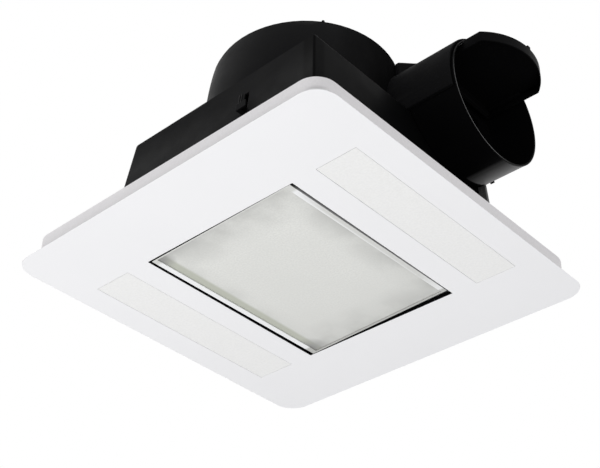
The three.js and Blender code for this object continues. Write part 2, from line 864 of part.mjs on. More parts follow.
function fanMotor() {
  const bell = motorRadius - motorBellInset;
  const body = turned(
    [
      [0, motorFoot],
      [bell, motorFoot],
      [motorRadius, motorFoot + motorBellHeight],
      [motorRadius, motorTop - motorBellHeight],
      [bell, motorTop],
      [0, motorTop],
    ],
    midSides,
  );
  const bore = rodZ(shaftRadius + seat, motorFoot - overrun, motorFoot + motorHeight / 2, 0, 0, smallSides);
  const holes = motorScrewPlaces().map(([x, y]) =>
    rodZ(screwRadius + seat, motorTop - screwReach * 3, motorTop + overrun, x, y, smallSides),
  );
  place("fan_motor", cut(body, bore, ...holes), steel);
}

function bladeOutline() {
  const outline = new THREE.Shape();
  const inner = wheelEye + wheelSheet;
  const outer = wheelRadius;
  const steps = bladeSteps;
  const half = bladeThick / 2;
  const point = (share, offset) => {
    const radius = inner + (outer - inner) * share;
    const angle = degrees(bladeTurn * share * share);
    const along = [Math.cos(angle), Math.sin(angle)];
    return [radius * along[0] - offset * along[1], radius * along[1] + offset * along[0]];
  };
  for (let i = 0; i <= steps; i += 1) {
    const [x, y] = point(i / steps, -half);
    if (i === 0) outline.moveTo(x, y);
    else outline.lineTo(x, y);
  }
  for (let i = steps; i >= 0; i -= 1) {
    const [x, y] = point(i / steps, half);
    outline.lineTo(x, y);
  }
  return outline;
}

function impeller() {
  const dishRadius = motorRadius + dishGap;
  const dishFoot = motorFoot - dishGap;
  const plateFoot = wheelTop - wheelSheet;
  const dish = turned(
    [
      [0, dishFoot - wheelSheet],
      [dishRadius, dishFoot - wheelSheet],
      [dishRadius + wheelSheet, dishFoot],
      [dishRadius + wheelSheet, plateFoot],
      [wheelRadius, plateFoot],
      [wheelRadius, wheelTop],
      [dishRadius, wheelTop],
      [dishRadius, dishFoot],
      [0, dishFoot],
    ],
    wheelSides,
  );
  const hub = rodZ(hubRadius, dishFoot - hubHeight, dishFoot, 0, 0, midSides);
  const ring = cut(
    rodZ(wheelRadius, wheelFoot, wheelFoot + wheelSheet, 0, 0, wheelSides),
    rodZ(wheelEye, wheelFoot - overrun, wheelFoot + overrun, 0, 0, wheelSides),
  );
  const blade = extruded(bladeOutline(), wheelFoot + wheelSheet / 2, wheelTop - wheelSheet / 2, smallSides);
  const blades = [];
  for (let i = 0; i < bladeCount; i += 1) {
    blades.push(blade.rotate([0, 0, (360 * i) / bladeCount]));
  }
  const wheel = join(dish, hub, ring, ...blades);
  const bore = rodZ(shaftRadius + seat, dishFoot - hubHeight - overrun, dishFoot + overrun, 0, 0, smallSides);
  place("impeller", cut(wheel, bore), blackPlastic);
  const shaftFoot = dishFoot - hubHeight - seat - nutHeight;
  const shaft = rodZ(shaftRadius, shaftFoot, motorFoot + motorHeight / 2 - seat, 0, 0, smallSides);
  place("motor_shaft", shaft, steel);
  const nutTop = dishFoot - hubHeight - seat;
  const nut = cut(
    rodZ(nutRadius, nutTop - nutHeight, nutTop, 0, 0, hexSides),
    rodZ(shaftRadius + seat, nutTop - nutHeight - overrun, nutTop + overrun, 0, 0, smallSides),
  );
  place("impeller_nut", nut, steel);
}

// Duct spigot with its damper flap

function outletSpigot() {
  const foot = housingAt(spigotHeight - ductRadius);
  const start = housingAt(housingHeight);
  const tube = ductRod(ductRadius, start, spigotRim);
  const hollow = ductRod(boreRadius, rootFace, spigotRim + overrun);
  const window = block(
    start - overrun,
    rootFace + overrun,
    spigotSide - windowHalf,
    spigotSide + windowHalf,
    windowFoot,
    windowHead,
  );
  const reach = foot + overrun;
  const wall = housingForm(seat, -overrun, housingHeight).intersect(
    block(0, reach + rootPlate, -reach, reach, 0, housingHeight),
  );
  const pinRoom = rodY(
    flapPinRadius + seat,
    spigotSide - ductRadius,
    spigotSide + ductRadius,
    flapHinge,
    flapMiddle,
    smallSides,
  );
  place("outlet_spigot", cut(tube, hollow, window, wall, pinRoom), blackPlastic);
}

// The flap's plan outline, from its hinge to its round nose, drawn smaller by an inset.
function flapOutline(inset) {
  const half = flapHalf - inset;
  const nose = flapNoseRadius - inset;
  const centre = flapTip - flapNoseRadius;
  const turn = Math.asin(half / nose);
  const outline = new THREE.Shape();
  outline.moveTo(flapHinge + inset, half);
  outline.lineTo(flapHinge + inset, -half);
  outline.absarc(centre, 0, nose, -turn, turn);
  return outline;
}

function damperFlap() {
  const group = new THREE.Group();
  group.position.y = spigotSide;
  root.add(group);
  const foot = flapTop - flapDepth;
  const lip = extruded(flapOutline(0), foot, flapTop, midSides / 2);
  const room = extruded(flapOutline(flapWall), foot - overrun, flapTop - flapWall, midSides / 2);
  const inTube = rodX(boreRadius - flapSideGap, 0, spigotRim + flapSideGap, 0, spigotHeight, fineSides);
  const outside = block(spigotRim + flapSideGap / 2, flapTip + overrun, -ductRadius, ductRadius, foot, flapTop);
  const limit = join(inTube, outside);
  const innerTube = rodX(boreRadius - flapSideGap - flapWall, 0, flapTip, 0, spigotHeight, fineSides);
  const drop = flapMiddle - spigotHeight;
  const barrelHalf = Math.sqrt(boreRadius ** 2 - (drop + flapBarrelRadius) ** 2) - flapSideGap;
  const barrel = rodY(flapBarrelRadius, -barrelHalf, barrelHalf, flapHinge, flapMiddle, smallSides);
  const innerSide = Math.sqrt((boreRadius - flapSideGap) ** 2 - (flapTop - spigotHeight) ** 2) - flapWall * 2;
  const rib = block(
    flapHinge,
    flapHinge + flapWall * 2,
    -innerSide,
    innerSide,
    flapMiddle - flapBarrelRadius / 2,
    flapTop - flapWall / 2,
  );
  const shell = cut(lip.intersect(limit), room.intersect(join(innerTube, outside)));
  const bore = rodY(flapPinRadius + seat, -ductRadius, ductRadius, flapHinge, flapMiddle, smallSides);
  place("damper_flap", cut(join(shell, barrel, rib), bore), blackPlastic, group);
  const pinHalf = Math.sqrt(ductRadius ** 2 - (drop + flapPinRadius) ** 2) - seat;
  const pin = rodY(flapPinRadius, -pinHalf, pinHalf, flapHinge, flapMiddle, smallSides);
  place("damper_pin", pin, steel, group);
}

// Terminal box on the wall opposite the duct, modelled with its cover towards +x, then turned

const boxTop = boxFoot + boxHeight;
const boxMouth = housingAt(boxFoot) + boxDepth;
const boxStart = boxPlace - boxLength / 2;
const boxEnd = boxPlace + boxLength / 2;
const glandX = boxMouth - boxDepth / 2;
const glandZ = boxFoot + boxHeight / 2;
const coverAxisX = boxMouth + seat + coverThick / 2;
const coverAxisZ = boxFoot - hingeDrop;

function coverPinRoom() {
  const start = boxStart - overrun;
  return rodY(hingePinRadius + seat, start, boxEnd + overrun, coverAxisX, coverAxisZ, smallSides);
}

// A lug under one end of the box, which holds the cover's pin.
function coverLug(end) {
  const inner = boxPlace + end * (boxLength / 2 - lugWidth);
  const outer = boxPlace + (end * boxLength) / 2;
  const [y0, y1] = [inner, outer].sort((a, b) => a - b);
  const back = boxMouth - lugWidth;
  const arm = block(back, coverAxisX, y0, y1, coverAxisZ - hingeRadius, coverAxisZ + hingeRadius);
  const stem = block(back, boxMouth - boxWall / 2, y0, y1, coverAxisZ, boxFoot + boxWall / 2);
  return join(arm, stem, rodY(hingeRadius, y0, y1, coverAxisX, coverAxisZ, smallSides));
}

function terminalBox(group) {
  const start = housingInside(boxTop);
  const shell = block(start, boxMouth, boxStart, boxEnd, boxFoot, boxTop);
  const room = block(
    start,
    boxMouth + overrun,
    boxStart + boxWall,
    boxEnd - boxWall,
    boxFoot + boxWall,
    boxTop - boxWall,
  );
  const wall = housingForm(seat, 0, housingHeight);
  const wallAndBack = housingForm(seat + boxWall, 0, housingHeight);
  const entry = rodY(glandRadius + seat, boxEnd - overrun, boxEnd + overrun, glandX, glandZ, midSides);
  const open = cut(shell, wall, cut(room, wallAndBack), entry);
  place("terminal_box", cut(join(open, coverLug(-1), coverLug(1)), coverPinRoom()), blackPlastic, group);
}

function terminalCover(group) {
  const half = boxLength / 2 - lugWidth - seat;
  const start = boxPlace - half;
  const end = boxPlace + half;
  const plate = block(boxMouth + seat, boxMouth + seat + coverThick, boxStart, boxEnd, boxFoot, boxTop);
  const knuckle = rodY(hingeRadius, start, end, coverAxisX, coverAxisZ, smallSides);
  const thin = coverThick / 2;
  const web = block(coverAxisX - thin, coverAxisX + thin, start, end, coverAxisZ, boxFoot + boxWall);
  place("terminal_cover", cut(join(plate, knuckle, web), coverPinRoom()), blackPlastic, group);
  const pin = rodY(hingePinRadius, boxStart, boxEnd, coverAxisX, coverAxisZ, smallSides);
  place("terminal_hinge_pin", pin, steel, group);
}

function cableGland(group) {
  const start = boxEnd - boxWall * 2;
  const end = boxEnd + glandReach;
  const collarFoot = boxEnd + seat;
  const body = rodY(glandRadius, start, end, glandX, glandZ, midSides);
  const collar = rodY(glandCollar, collarFoot, collarFoot + glandCollarThick, glandX, glandZ, hexSides);
  const bore = rodY(glandBore, start - overrun, end + overrun, glandX, glandZ, midSides);
  place("cable_gland", cut(join(body, collar), bore), greyPlastic, group);
}

function terminalBlock(group) {
  const foot = glandZ - blockHeight / 2;
  const back = housingAt(foot) + seat + boxWall + seat;
  const front = back + blockDepth;
  const half = blockLength / 2;
  const body = block(back, front, boxPlace - half, boxPlace + half, foot, foot + blockHeight);
  const ways = [];
  for (let i = 0; i < blockWays; i += 1) {
    const y = boxPlace + blockLength * ((i + 0.5) / blockWays - 0.5);
    ways.push(rodX(blockWayRadius, back + blockDepth / 2, front + overrun, y, glandZ, smallSides));
  }
  place("terminal_block", cut(body, ...ways), terminalGrey, group);
}

function terminalPieces() {
  const group = new THREE.Group();
  group.rotation.z = Math.PI;
  root.add(group);
  terminalBox(group);
  terminalCover(group);
  cableGland(group);
  terminalBlock(group);
}

function electricalPieces() {
  const driverTop = driverFoot + driverHeight;
  const driverBack = -(housingInside(driverTop) - seat);
  const half = driverLength / 2;
  const driver = block(driverBack, driverBack + driverDepth, -half, half, driverFoot, driverTop);
  place("led_driver", driver, whitePlastic);
  const capacitorTop = capacitorFoot + capacitorHeight;
  const x = housingInside(capacitorTop) - seat - capacitorRadius;
  place("motor_capacitor", rodZ(capacitorRadius, capacitorFoot, capacitorTop, x, 0, midSides), greyPlastic);
}

ceilingFrame();
housing();
housingScrews();
ceilingClamps();
fasciaPlate();
lightStrips();
springLegs();
heaterWindow();
reflector();
heatingTubes();
thermalCutout();
heaterBrackets();
scrollHousing();
scrollLid();
inletRing();
fanMotor();
impeller();
outletSpigot();
damperFlap();
terminalPieces();
electricalPieces();

export default root;
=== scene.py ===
"""The looks of a bathroom ceiling heater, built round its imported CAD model."""
import json
import math

import bmesh
import bpy
from mathutils import Matrix, Vector
from mathutils.geometry import tessellate_polygon


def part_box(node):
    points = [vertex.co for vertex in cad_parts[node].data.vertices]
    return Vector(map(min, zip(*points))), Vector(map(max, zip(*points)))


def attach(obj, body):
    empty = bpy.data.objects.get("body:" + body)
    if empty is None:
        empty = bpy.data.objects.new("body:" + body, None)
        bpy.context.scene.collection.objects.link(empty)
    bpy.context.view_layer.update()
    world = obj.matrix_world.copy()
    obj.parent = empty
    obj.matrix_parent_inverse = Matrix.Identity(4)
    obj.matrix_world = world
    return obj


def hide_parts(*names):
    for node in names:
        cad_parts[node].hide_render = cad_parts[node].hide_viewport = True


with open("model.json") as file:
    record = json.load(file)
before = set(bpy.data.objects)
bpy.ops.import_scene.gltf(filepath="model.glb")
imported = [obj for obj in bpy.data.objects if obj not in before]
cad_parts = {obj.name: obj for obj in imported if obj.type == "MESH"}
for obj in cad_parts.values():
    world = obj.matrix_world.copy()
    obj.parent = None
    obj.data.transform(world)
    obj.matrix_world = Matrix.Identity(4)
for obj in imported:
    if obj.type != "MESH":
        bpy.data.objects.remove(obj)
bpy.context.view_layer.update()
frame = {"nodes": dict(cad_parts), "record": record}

BOXES = {node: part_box(node) for node in frame["nodes"]}

# Camera, in metres, from the corners of the fascia in the photograph
CAMERA_PLACE = (0.72202, -0.77431, -0.73376)
CAMERA_FORWARD = (-0.556383, 0.592646, 0.582415)
CAMERA_RIGHT = (0.73877, 0.673653, 0.020263)
CAMERA_LENS = 74.22
CAMERA_SENSOR = 36.0

# Stage
FLOOR_HEIGHT = -2.6
FLOOR_HALF = 9.0
FLOOR_COLOUR = (0.86, 0.86, 0.86)
FLOOR_ROUGHNESS = 0.9
AMBIENT_LOW = (0.9, 0.9, 0.905)
AMBIENT_HIGH = (0.62, 0.62, 0.63)
AMBIENT_STRENGTH = 0.9
LAMP_TARGET = (0.0, 0.0, 0.08)

# Lamps: place, width and power
LAMPS = {
    "left_lamp": ((-0.9, -1.9, -0.9), 1.4, 8.0),
    "low_lamp": ((-0.1, -0.9, -1.7), 1.6, 18.0),
    "right_lamp": ((2.0, -0.5, -0.7), 1.4, 6.0),
}

# The housing's leaning walls
WALL_FOOT = 0.1449  # from the middle, at the ceiling
WALL_LEAN = 0.096  # inward for each metre up
SLOT_FOOT = 0.012  # up from the ceiling

# Mesh tools
WELD = 1e-6
FLAT_ANGLE = math.radians(0.6)
BEVEL_ANGLE = math.radians(38.0)
SHARP_ANGLE = math.radians(40.0)
BEVEL_STEPS = 2
BEVEL_ROOM_SHARE = 0.3  # of the shortest edge beside a rounded one
FACING_SHARE = 0.99  # from which on a face counts as looking straight in a direction
LID_STEPS = 64
MOUTH_STEPS = 96
SMALL_STEPS = 20
UNMOVED = Matrix.Identity(4)
BLOCK_FACES = ((0, 1, 3, 2), (4, 6, 7, 5), (0, 4, 5, 1), (2, 3, 7, 6), (0, 2, 6, 4), (1, 5, 7, 3))

# How far each corner of the heater window sits from its drawn place, along x and y
WINDOW_MOVES = {
    (-1, -1): (0.0006, -0.0004),
    (1, -1): (-0.0010, -0.0022),
    (1, 1): (0.0011, -0.0054),
    (-1, 1): (0.0021, 0.0018),
}

# Liner of the plate's opening: a black sheet of painted shade
WINDOW_GAP = 0.0026
LINER_THICK = 0.00025
LINER_INSET = 0.0005
LINER_HEIGHT = 0.0045

# Names that end in EDGE: how widely the edges of a detail are rounded

# Screws
TOP_SCREWS = 3  # on the lid, and as many on the motor
HOUSING_SCREWS = 4
SCREW_HEAD = 0.0024
HEAD_SHARES = ((0.74, 0.0), (0.92, 0.3), (1.0, 0.6), (1.0, 1.0))  # of its radius and height
THREAD_ROOT_SHARE = 0.8
TIP_SHARE = 0.2
SCREW_SHANK = 0.002
SCREW_PITCH = 0.0014
CROSS_REACH = 0.0021
CROSS_WIDTH = 0.0009
CROSS_DEPTH = 0.0014

# Ribs and nub on the lid
LID_RIBS = 8
LID_RIB_START = 0.046
LID_RIB_END = 0.09
LID_RIB_WIDTH = 0.0016
LID_RIB_HEIGHT = 0.0014
LID_RIB_EDGE = 0.0004
LID_NUB_ANGLE = math.radians(-38.2)
LID_NUB_RADIUS = 0.0017
LID_NUB_INSET = 0.0022
LID_NUB_EDGE = 0.0005

# Ribs beside a clamp's slot, along the wall and up from the ceiling
SLOT_RIB_PLACES = (0.0335, 0.0365)
SLOT_RIB_WIDTH = 0.0009
SLOT_RIB_LOW = 0.086
SLOT_RIB_HIGH = 0.109
SLOT_RIB_PROUD = 0.0008
SLOT_RIB_EDGE = 0.0002

# Spigot rim, flap lug and nub under the spigot
RIM_LENGTH = 0.0014
RIM_PROUD = 0.0002
RIM_WALL = 0.0007
RIM_EDGE = 0.0004
SPIGOT_WALL = 0.002
LUG_HALF = 0.0026
LUG_LENGTH = 0.0036
LUG_INSET = 0.0006
LUG_SHIFT = 0.0025
LUG_PROUD = 0.0045
LUG_EDGE = 0.0008
NUB_PLACE = 0.1475
NUB_ANGLE = math.radians(-46.0)
NUB_RADIUS = 0.0025
NUB_PROUD = 0.0018
NUB_EDGE = 0.0006

# Plate edge: how far its upper side is drawn in under the lip
LIP_DRAW = 0.0027

# Moulding draft of the drum: how much wider it is at its foot, in a curve that ends upright
DRUM_DRAFT_SHARE = 0.07
DRUM_CUTS = 7
DRUM_CURVE = 2.6
DRUM_FADE = 0.06  # from full draft to none beside the neck
DRUM_CORE_SHARE = 0.9  # of the drum's radius, inside which nothing leans
DRUM_ROOM_SHARE = 1.03  # of the drum's radius, outside which nothing leans

# Clamp foot: how much of its width and reach it keeps, and how far it moves along the wall
FOOT_WIDTH_SHARE = 0.8
FOOT_REACH_SHARE = 0.38
FOOT_SHIFT = 0.0041
FOOT_ROOT = 0.0041  # nearer the wall than this, it keeps its reach
FOOT_WEB_HALF = 0.004  # nearer its middle than this, it stays

# Lug on the +X wall, beside its +Y corner
CORNER_LUG_FROM = 0.131
CORNER_LUG_TO = 0.135
CORNER_LUG_PROUD = 0.0085
CORNER_LUG_SUNK = 0.0026  # into the wall
CORNER_LUG_LOW = 0.03
CORNER_LUG_HIGH = 0.096
CORNER_LUG_EDGE = 0.0006

# Terminal cover and gland
COVER_LUG_ROOM = 0.007
BORDER_INSET = 0.003
BORDER_WIDTH = 0.0022
BORDER_PROUD = 0.0009
BORDER_EDGE = 0.0003
GLAND_BORE = 0.0055
GLAND_BODY = 0.008
GLAND_COLLAR = 0.011
GLAND_WALL_FACE = 0.0043  # from the gland's inner end to its collar
GLAND_COLLAR_THICK = 0.005
GLAND_COLLAR_SIDES = 6
GLAND_COLLAR_EDGE = 0.0006
GLAND_RIBS = 18
GLAND_RIB_DEPTH = 0.0006
GLAND_CONE = 0.0036
GLAND_MOUTH = 0.0068

# How widely the edges of the softened CAD nodes are rounded
EDGE_WIDTHS = {
    "ceiling_frame": 0.001,
    "housing": 0.002,
    "scroll_lid": 0.001,
    "outlet_spigot": 0.0006,
    "damper_flap": 0.0009,
    "terminal_box": 0.0009,
    "terminal_cover": 0.0007,
    "heater_bracket_left": 0.0004,
    "heater_bracket_right": 0.0004,
    "led_driver": 0.001,
    "motor_capacitor": 0.0012,
    "fan_motor": 0.0003,
    "fascia_plate": 0.0004,
    "scroll_housing": 0.001,
    "ceiling_clamp_near": 0.0006,
    "ceiling_clamp_far": 0.0006,
    "heater_bezel": 0.0002,
    "heater_glass": 0.0004,
}

# Colours of the materials, linear
FASCIA_WHITE = (0.845, 0.845, 0.855)
FRAME_WHITE = (0.79, 0.775, 0.785)
DIFFUSER_WHITE = (0.83, 0.83, 0.82)
BEZEL_WHITE = (0.84, 0.845, 0.85)
GLASS = (0.75, 0.755, 0.725)
BAND_SHADE_OLIVE = (0.47, 0.485, 0.42)
CORNER_SHADE_GREY = (0.3, 0.3, 0.29)
HOUSING_BLACK = (0.0068, 0.0068, 0.0071)
SCROLL_BLACK = (0.0058, 0.0058, 0.0062)
DUCT_BLACK = (0.0026, 0.0026, 0.0028)
GAP_SHADE_BLACK = (0.004, 0.004, 0.004)
RIB_LIT_BLACK = (0.016, 0.016, 0.016)
TIP_LIT_BLACK = (0.1, 0.1, 0.1)
GAP_PAINTED_LIGHT_GREY = (0.5, 0.5, 0.5)
UNDERSIDE_PAINTED_GLOW = (0.05, 0.05, 0.05)
UNDERSIDE_PAINTED_LIGHT = (0.42, 0.42, 0.42)
RIM_PAINTED_HIGHLIGHT = (0.2, 0.2, 0.2)
GREY = (0.28, 0.29, 0.3)
TERMINAL_GREY = (0.6, 0.61, 0.6)
TERMINAL_DARK = (0.57, 0.58, 0.57)
BOARD_WHITE = (0.8, 0.82, 0.8)
BOARD_DARK = (0.76, 0.78, 0.76)
CERAMIC_WHITE = (0.8, 0.77, 0.7)
CERAMIC_DARK = (0.74, 0.71, 0.64)
QUARTZ_AMBER = (0.75, 0.45, 0.2)
QUARTZ_DARK = (0.7, 0.4, 0.17)
METAL = (0.86, 0.86, 0.86)
STEEL = (0.6, 0.6, 0.61)
STEEL_DARK = (0.52, 0.53, 0.55)
MOTOR_STEEL = (0.25, 0.26, 0.28)
MOTOR_DARK = (0.22, 0.23, 0.25)

# Second tones, as shares of a material's colour
FASCIA_TONE_SHARE = 0.985
FASCIA_EDGE_SHADE_SHARE = 0.78
FRAME_SPECKLE_SHARE = 0.95
FRAME_SHADE_SHARE = 0.2
BLACK_TONE_SHARE = 1.3
BLACK_DUST_SHARE = 2.6
HOUSING_TONE_SHARE = 1.25
HOUSING_DUST_SHARE = 2.4
FLANK_SHADE_SHARE = 0.6
DUCT_TONE_SHARE = 1.4
GREY_TONE_SHARE = 0.9
METAL_TONE_SHARE = 0.95
RAIL_SHADE_SHARE = 0.84
END_RAIL_SHADE_SHARE = 0.62
DIFFUSER_TONE_SHARE = 0.96
CLOUD_TONE_SHARE = 0.94
GLASS_SPECKLE_SHARE = 0.88
GLASS_END_SHARE = 0.86
GLASS_RIM_SHADE_SHARE = 0.64

# Noise, in cells to a metre
TONE_CELLS = 9.0
ROUGH_CELLS = 40.0
GRAIN_CELLS = 1600.0
DUST_CELLS = 700.0
FRAME_CELLS = 500.0
DIFFUSER_CELLS = 420.0
DIFFUSER_GRAIN_CELLS = 900.0
CLOUD_CELLS = 14.0
GLASS_CELLS = 520.0
GLASS_RIM_CELLS = 26.0
GLASS_GRAIN_CELLS = 1200.0
STREAK_CELLS = 220.0
METAL_ROUGH_CELLS = 60.0
METAL_GRAIN_CELLS = 900.0
QUARTZ_CELLS = 80.0

# Noise: its detail, how it is stretched, and the bands of its values that are spread out
LITTLE_DETAIL = 2.0
SOME_DETAIL = 3.0
MORE_DETAIL = 4.0
MOST_DETAIL = 5.0
EVEN = (1.0, 1.0, 1.0)
BRUSHED = (1.0, 0.08, 1.0)
CLOUD_STRETCH = (1.0, 0.7, 1.0)
WIDE_BAND = (0.3, 0.7)
MIDDLE_BAND = (0.35, 0.65)
DUST_BAND = (0.62, 0.78)
GLASS_RIM_BAND = (0.42, 0.62)

# Surfaces of the moulded materials, where they differ from the usual one
USUAL_SURFACE = {"roughness": 0.42, "grain": 0.3, "specular": 0.5}
SURFACES = {
    "fascia_white": {"grain": 0.08},
    "frame_white": {"roughness": 0.48, "grain": 0.12},
    "bezel_metal": {"roughness": 0.3, "grain": 0.05, "specular": 0.3},
    "grey_plastic": {"roughness": 0.5, "grain": 0.2},
    "terminal_plastic": {"roughness": 0.4, "grain": 0.1},
    "circuit_board": {"roughness": 0.4, "grain": 0.1},
    "ceramic": {"roughness": 0.7, "grain": 0.4},
    "motor_steel": {"roughness": 0.4, "grain": 0.2},
    "black_plastic": {"specular": 0.024},
    "housing_black": {"specular": 0.012},
    "duct_black": {"specular": 0.012},
    "flap_black": {"specular": 0.02},
    "gap_shade_dark": {"specular": 0.01},
    "rim_black": {"specular": 0.05},
    "lit_rib_black": {"specular": 0.05},
    "lit_tip_black": {"specular": 0.05},
}

# Surfaces of the other materials
DIFFUSER_ROUGHNESS = 0.6
DIFFUSER_GRAIN = 0.25
DIFFUSER_SOFT_SHARE = 0.2
GLASS_ROUGHNESS = 0.55
GLASS_GRAIN = 0.2
GLASS_SPECULAR = 0.25
METAL_ROUGHNESS = 0.25
METAL_GRAIN = 0.08
STEEL_ROUGHNESS = 0.38
QUARTZ_ROUGHNESS = 0.1
QUARTZ_CLEAR_SHARE = 0.6

# Changes round a material's roughness, duller places, depths of the grain, and reach of light
ROUGH_SPREAD = (-0.04, 0.06)
METAL_ROUGH_SPREAD = (-0.05, 0.08)
FLANK_DULL = 0.5
NECK_DULL = 0.26
GRAIN_DEPTH = 0.0001
DIFFUSER_GRAIN_DEPTH = 0.0002
DIFFUSER_REACH = 0.004

# Fades by how far a surface faces a way: where each starts, and where it is full
RIGHT_TURN = (0.0, 1.0)
NEAR_TURN = (0.0, -1.0)
FASCIA_EDGE_TURN = (-0.97, -0.5)
CORNER_TURN = (0.25, 0.5)
LINE_TURN = (-0.3, -0.6)
WALL_SHADE_TURN = (0.3, 0.9)
FLANK_TURN = (0.35, 1.1)
NECK_TURN = (0.2, 0.9)
UNDERSIDE_TURN = (-0.56, -0.68)
PAINTED_GLOW_TURN = (0.06, 0.13)
LIGHT_TURN = (0.15, 0.7)
RIM_TURN = (0.6, 0.95)

# Fades by place, in metres: where each starts, and where it is full
SHADE_FOOT = -0.0188  # as far down the frame as shows above the plate
SHADE_FADE = (0.009, 0.0)  # above the shade's foot
LINE_FADE = (0.0034, 0.0016)  # above the shade's foot
LINE_ALONG = (-0.08, 0.14)
WALL_SHADE_FADE = (-0.125, -0.05)
CORNER_FADE = (-0.0165, -0.0125)  # from the housing's near corner
NECK_FADE = (0.09, 0.1)
PAINTED_LIGHT_FADE = (0.012, 0.0135)  # from the spigot's root
BAND_OUTER_FADE = (0.003, 0.0045)  # from the glass's -X side
BAND_INNER_FADE = (0.017, 0.0135)  # from the glass's -X side
GLASS_END_START = 0.02
GLASS_END_INSET = 0.004
LEFT_SHADE_INSETS = (0.008, 0.004)
LEFT_SHADE_REACH = 0.016
LOWER_SHADE_INSETS = (0.006, 0.006)
LOWER_SHADE_REACH = 0.022
CORNER_SHADE_CORE_SHARE = 0.15  # of a painted corner shade's reach

# Fades by shares of a half width or a radius
HIGHLIGHT_SHARES = (0.75, 1.2)
OUTER_SHARES = (0.6, 0.8)
FAR_RAIL_SHARES = (0.93, 0.96)
FAR_RAIL_END_SHARES = (0.95, 0.6)
NEAR_RAIL_SHARES = (-0.92, -0.95)
END_RAIL_SHARES = (0.89, 0.92)
GAP_SIDE_SHARES = (0.9, 0.97)
GAP_END_SHARES = (1.0, 0.9)
GLASS_RIM_SHARES = (0.62, 1.0)

# How strong a fade is at its two ends
FULL_LEVELS = (0.0, 1.0)
CORNER_LEVELS = (0.05, 0.75)
LINE_LEVELS = (0.03, 0.5)
GLASS_RIM_LEVELS = (0.3, 0.9)


def box_of(node):
    """The low and high corners of a CAD node, in metres."""
    return BOXES[node]


def middle_of(node):
    """The middle of a CAD node's box."""
    return tuple((start + end) / 2 for start, end in zip(*box_of(node)))


def shifted(places, start):
    """Places counted from a start."""
    return tuple(start + place for place in places)


def scaled(shares, length):
    """Places that are shares of a length."""
    return tuple(share * length for share in shares)


def duct_radius():
    """The duct spigot's radius outside."""
    low, high = box_of("outlet_spigot")
    return (high[1] - low[1]) / 2


def duct_place(along):
    """Moves to a place along the duct spigot's middle line."""
    return Matrix.Translation((along, *middle_of("outlet_spigot")[1:]))


def added(name, data):
    """A new object in the scene."""
    new = bpy.data.objects.new(name, data)
    bpy.context.scene.collection.objects.link(new)
    return new


# Camera, lamps and stage


def make_camera():
    data = bpy.data.cameras.new("camera")
    camera = added("camera", data)
    forward = Vector(CAMERA_FORWARD).normalized()
    right = Vector(CAMERA_RIGHT).normalized()
    up = right.cross(forward)
    turn = Matrix((right, up, -forward)).transposed()
    camera.matrix_world = Matrix.Translation(CAMERA_PLACE) @ turn.to_4x4()
    data.lens = CAMERA_LENS
    data.sensor_width = CAMERA_SENSOR
    bpy.context.scene.camera = camera


def make_lamp(name, place, size, power):
    data = bpy.data.lights.new(name, "AREA")
    data.shape = "DISK"
    data.size = size
    data.energy = power
    lamp = added(name, data)
    lamp.location = place
    lamp.rotation_mode = "QUATERNION"
    lamp.rotation_quaternion = (Vector(LAMP_TARGET) - Vector(place)).to_track_quat("-Z", "Y")


def make_world():
    """Soft light that is brighter from below, with white wherever the world itself is seen."""
    world = bpy.data.worlds.new("studio")
    bpy.context.scene.world = world
    world.use_nodes = True
    nodes = world.node_tree.nodes
    links = world.node_tree.links
    nodes.clear()
    coords = nodes.new("ShaderNodeTexCoord")
    split = nodes.new("ShaderNodeSeparateXYZ")
    links.new(coords.outputs["Generated"], split.inputs["Vector"])
    ramp = nodes.new("ShaderNodeMapRange")
    ramp.inputs["From Min"].default_value = -1.0
    links.new(split.outputs["Z"], ramp.inputs["Value"])
    blend = nodes.new("ShaderNodeMix")
    blend.data_type = "RGBA"
    blend.inputs["A"].default_value = (*AMBIENT_LOW, 1.0)
    blend.inputs["B"].default_value = (*AMBIENT_HIGH, 1.0)
    links.new(ramp.outputs["Result"], blend.inputs["Factor"])
    ambient = nodes.new("ShaderNodeBackground")
    ambient.inputs["Strength"].default_value = AMBIENT_STRENGTH
    links.new(blend.outputs["Result"], ambient.inputs["Color"])
    white = nodes.new("ShaderNodeBackground")
    white.inputs["Color"].default_value = (1.0, 1.0, 1.0, 1.0)
    path = nodes.new("ShaderNodeLightPath")
    seen = path.outputs["Is Camera Ray"]
    for ray in ("Is Glossy Ray", "Is Transmission Ray"):
        either = nodes.new("ShaderNodeMath")
        either.operation = "MAXIMUM"
        links.new(seen, either.inputs[0])
        links.new(path.outputs[ray], either.inputs[1])
        seen = either.outputs["Value"]
    mix = nodes.new("ShaderNodeMixShader")
    links.new(seen, mix.inputs["Fac"])
    links.new(ambient.outputs["Background"], mix.inputs[1])
    links.new(white.outputs["Background"], mix.inputs[2])
    output = nodes.new("ShaderNodeOutputWorld")
    links.new(mix.outputs["Shader"], output.inputs["Surface"])


def make_floor():
    mesh = bpy.data.meshes.new("floor")
    points = [(x, y, FLOOR_HEIGHT) for x, y in box_outline(FLOOR_HALF, FLOOR_HALF)]
    mesh.from_pydata(points, [], [(0, 1, 2, 3)])
    finish = Finish("floor_paper", FLOOR_COLOUR)
    finish.set("Base Color", (*FLOOR_COLOUR, 1.0))
    finish.set("Roughness", FLOOR_ROUGHNESS)
    mesh.materials.append(MATERIALS["floor_paper"])
    floor = added("floor", mesh)


# Materials

MATERIALS = {}


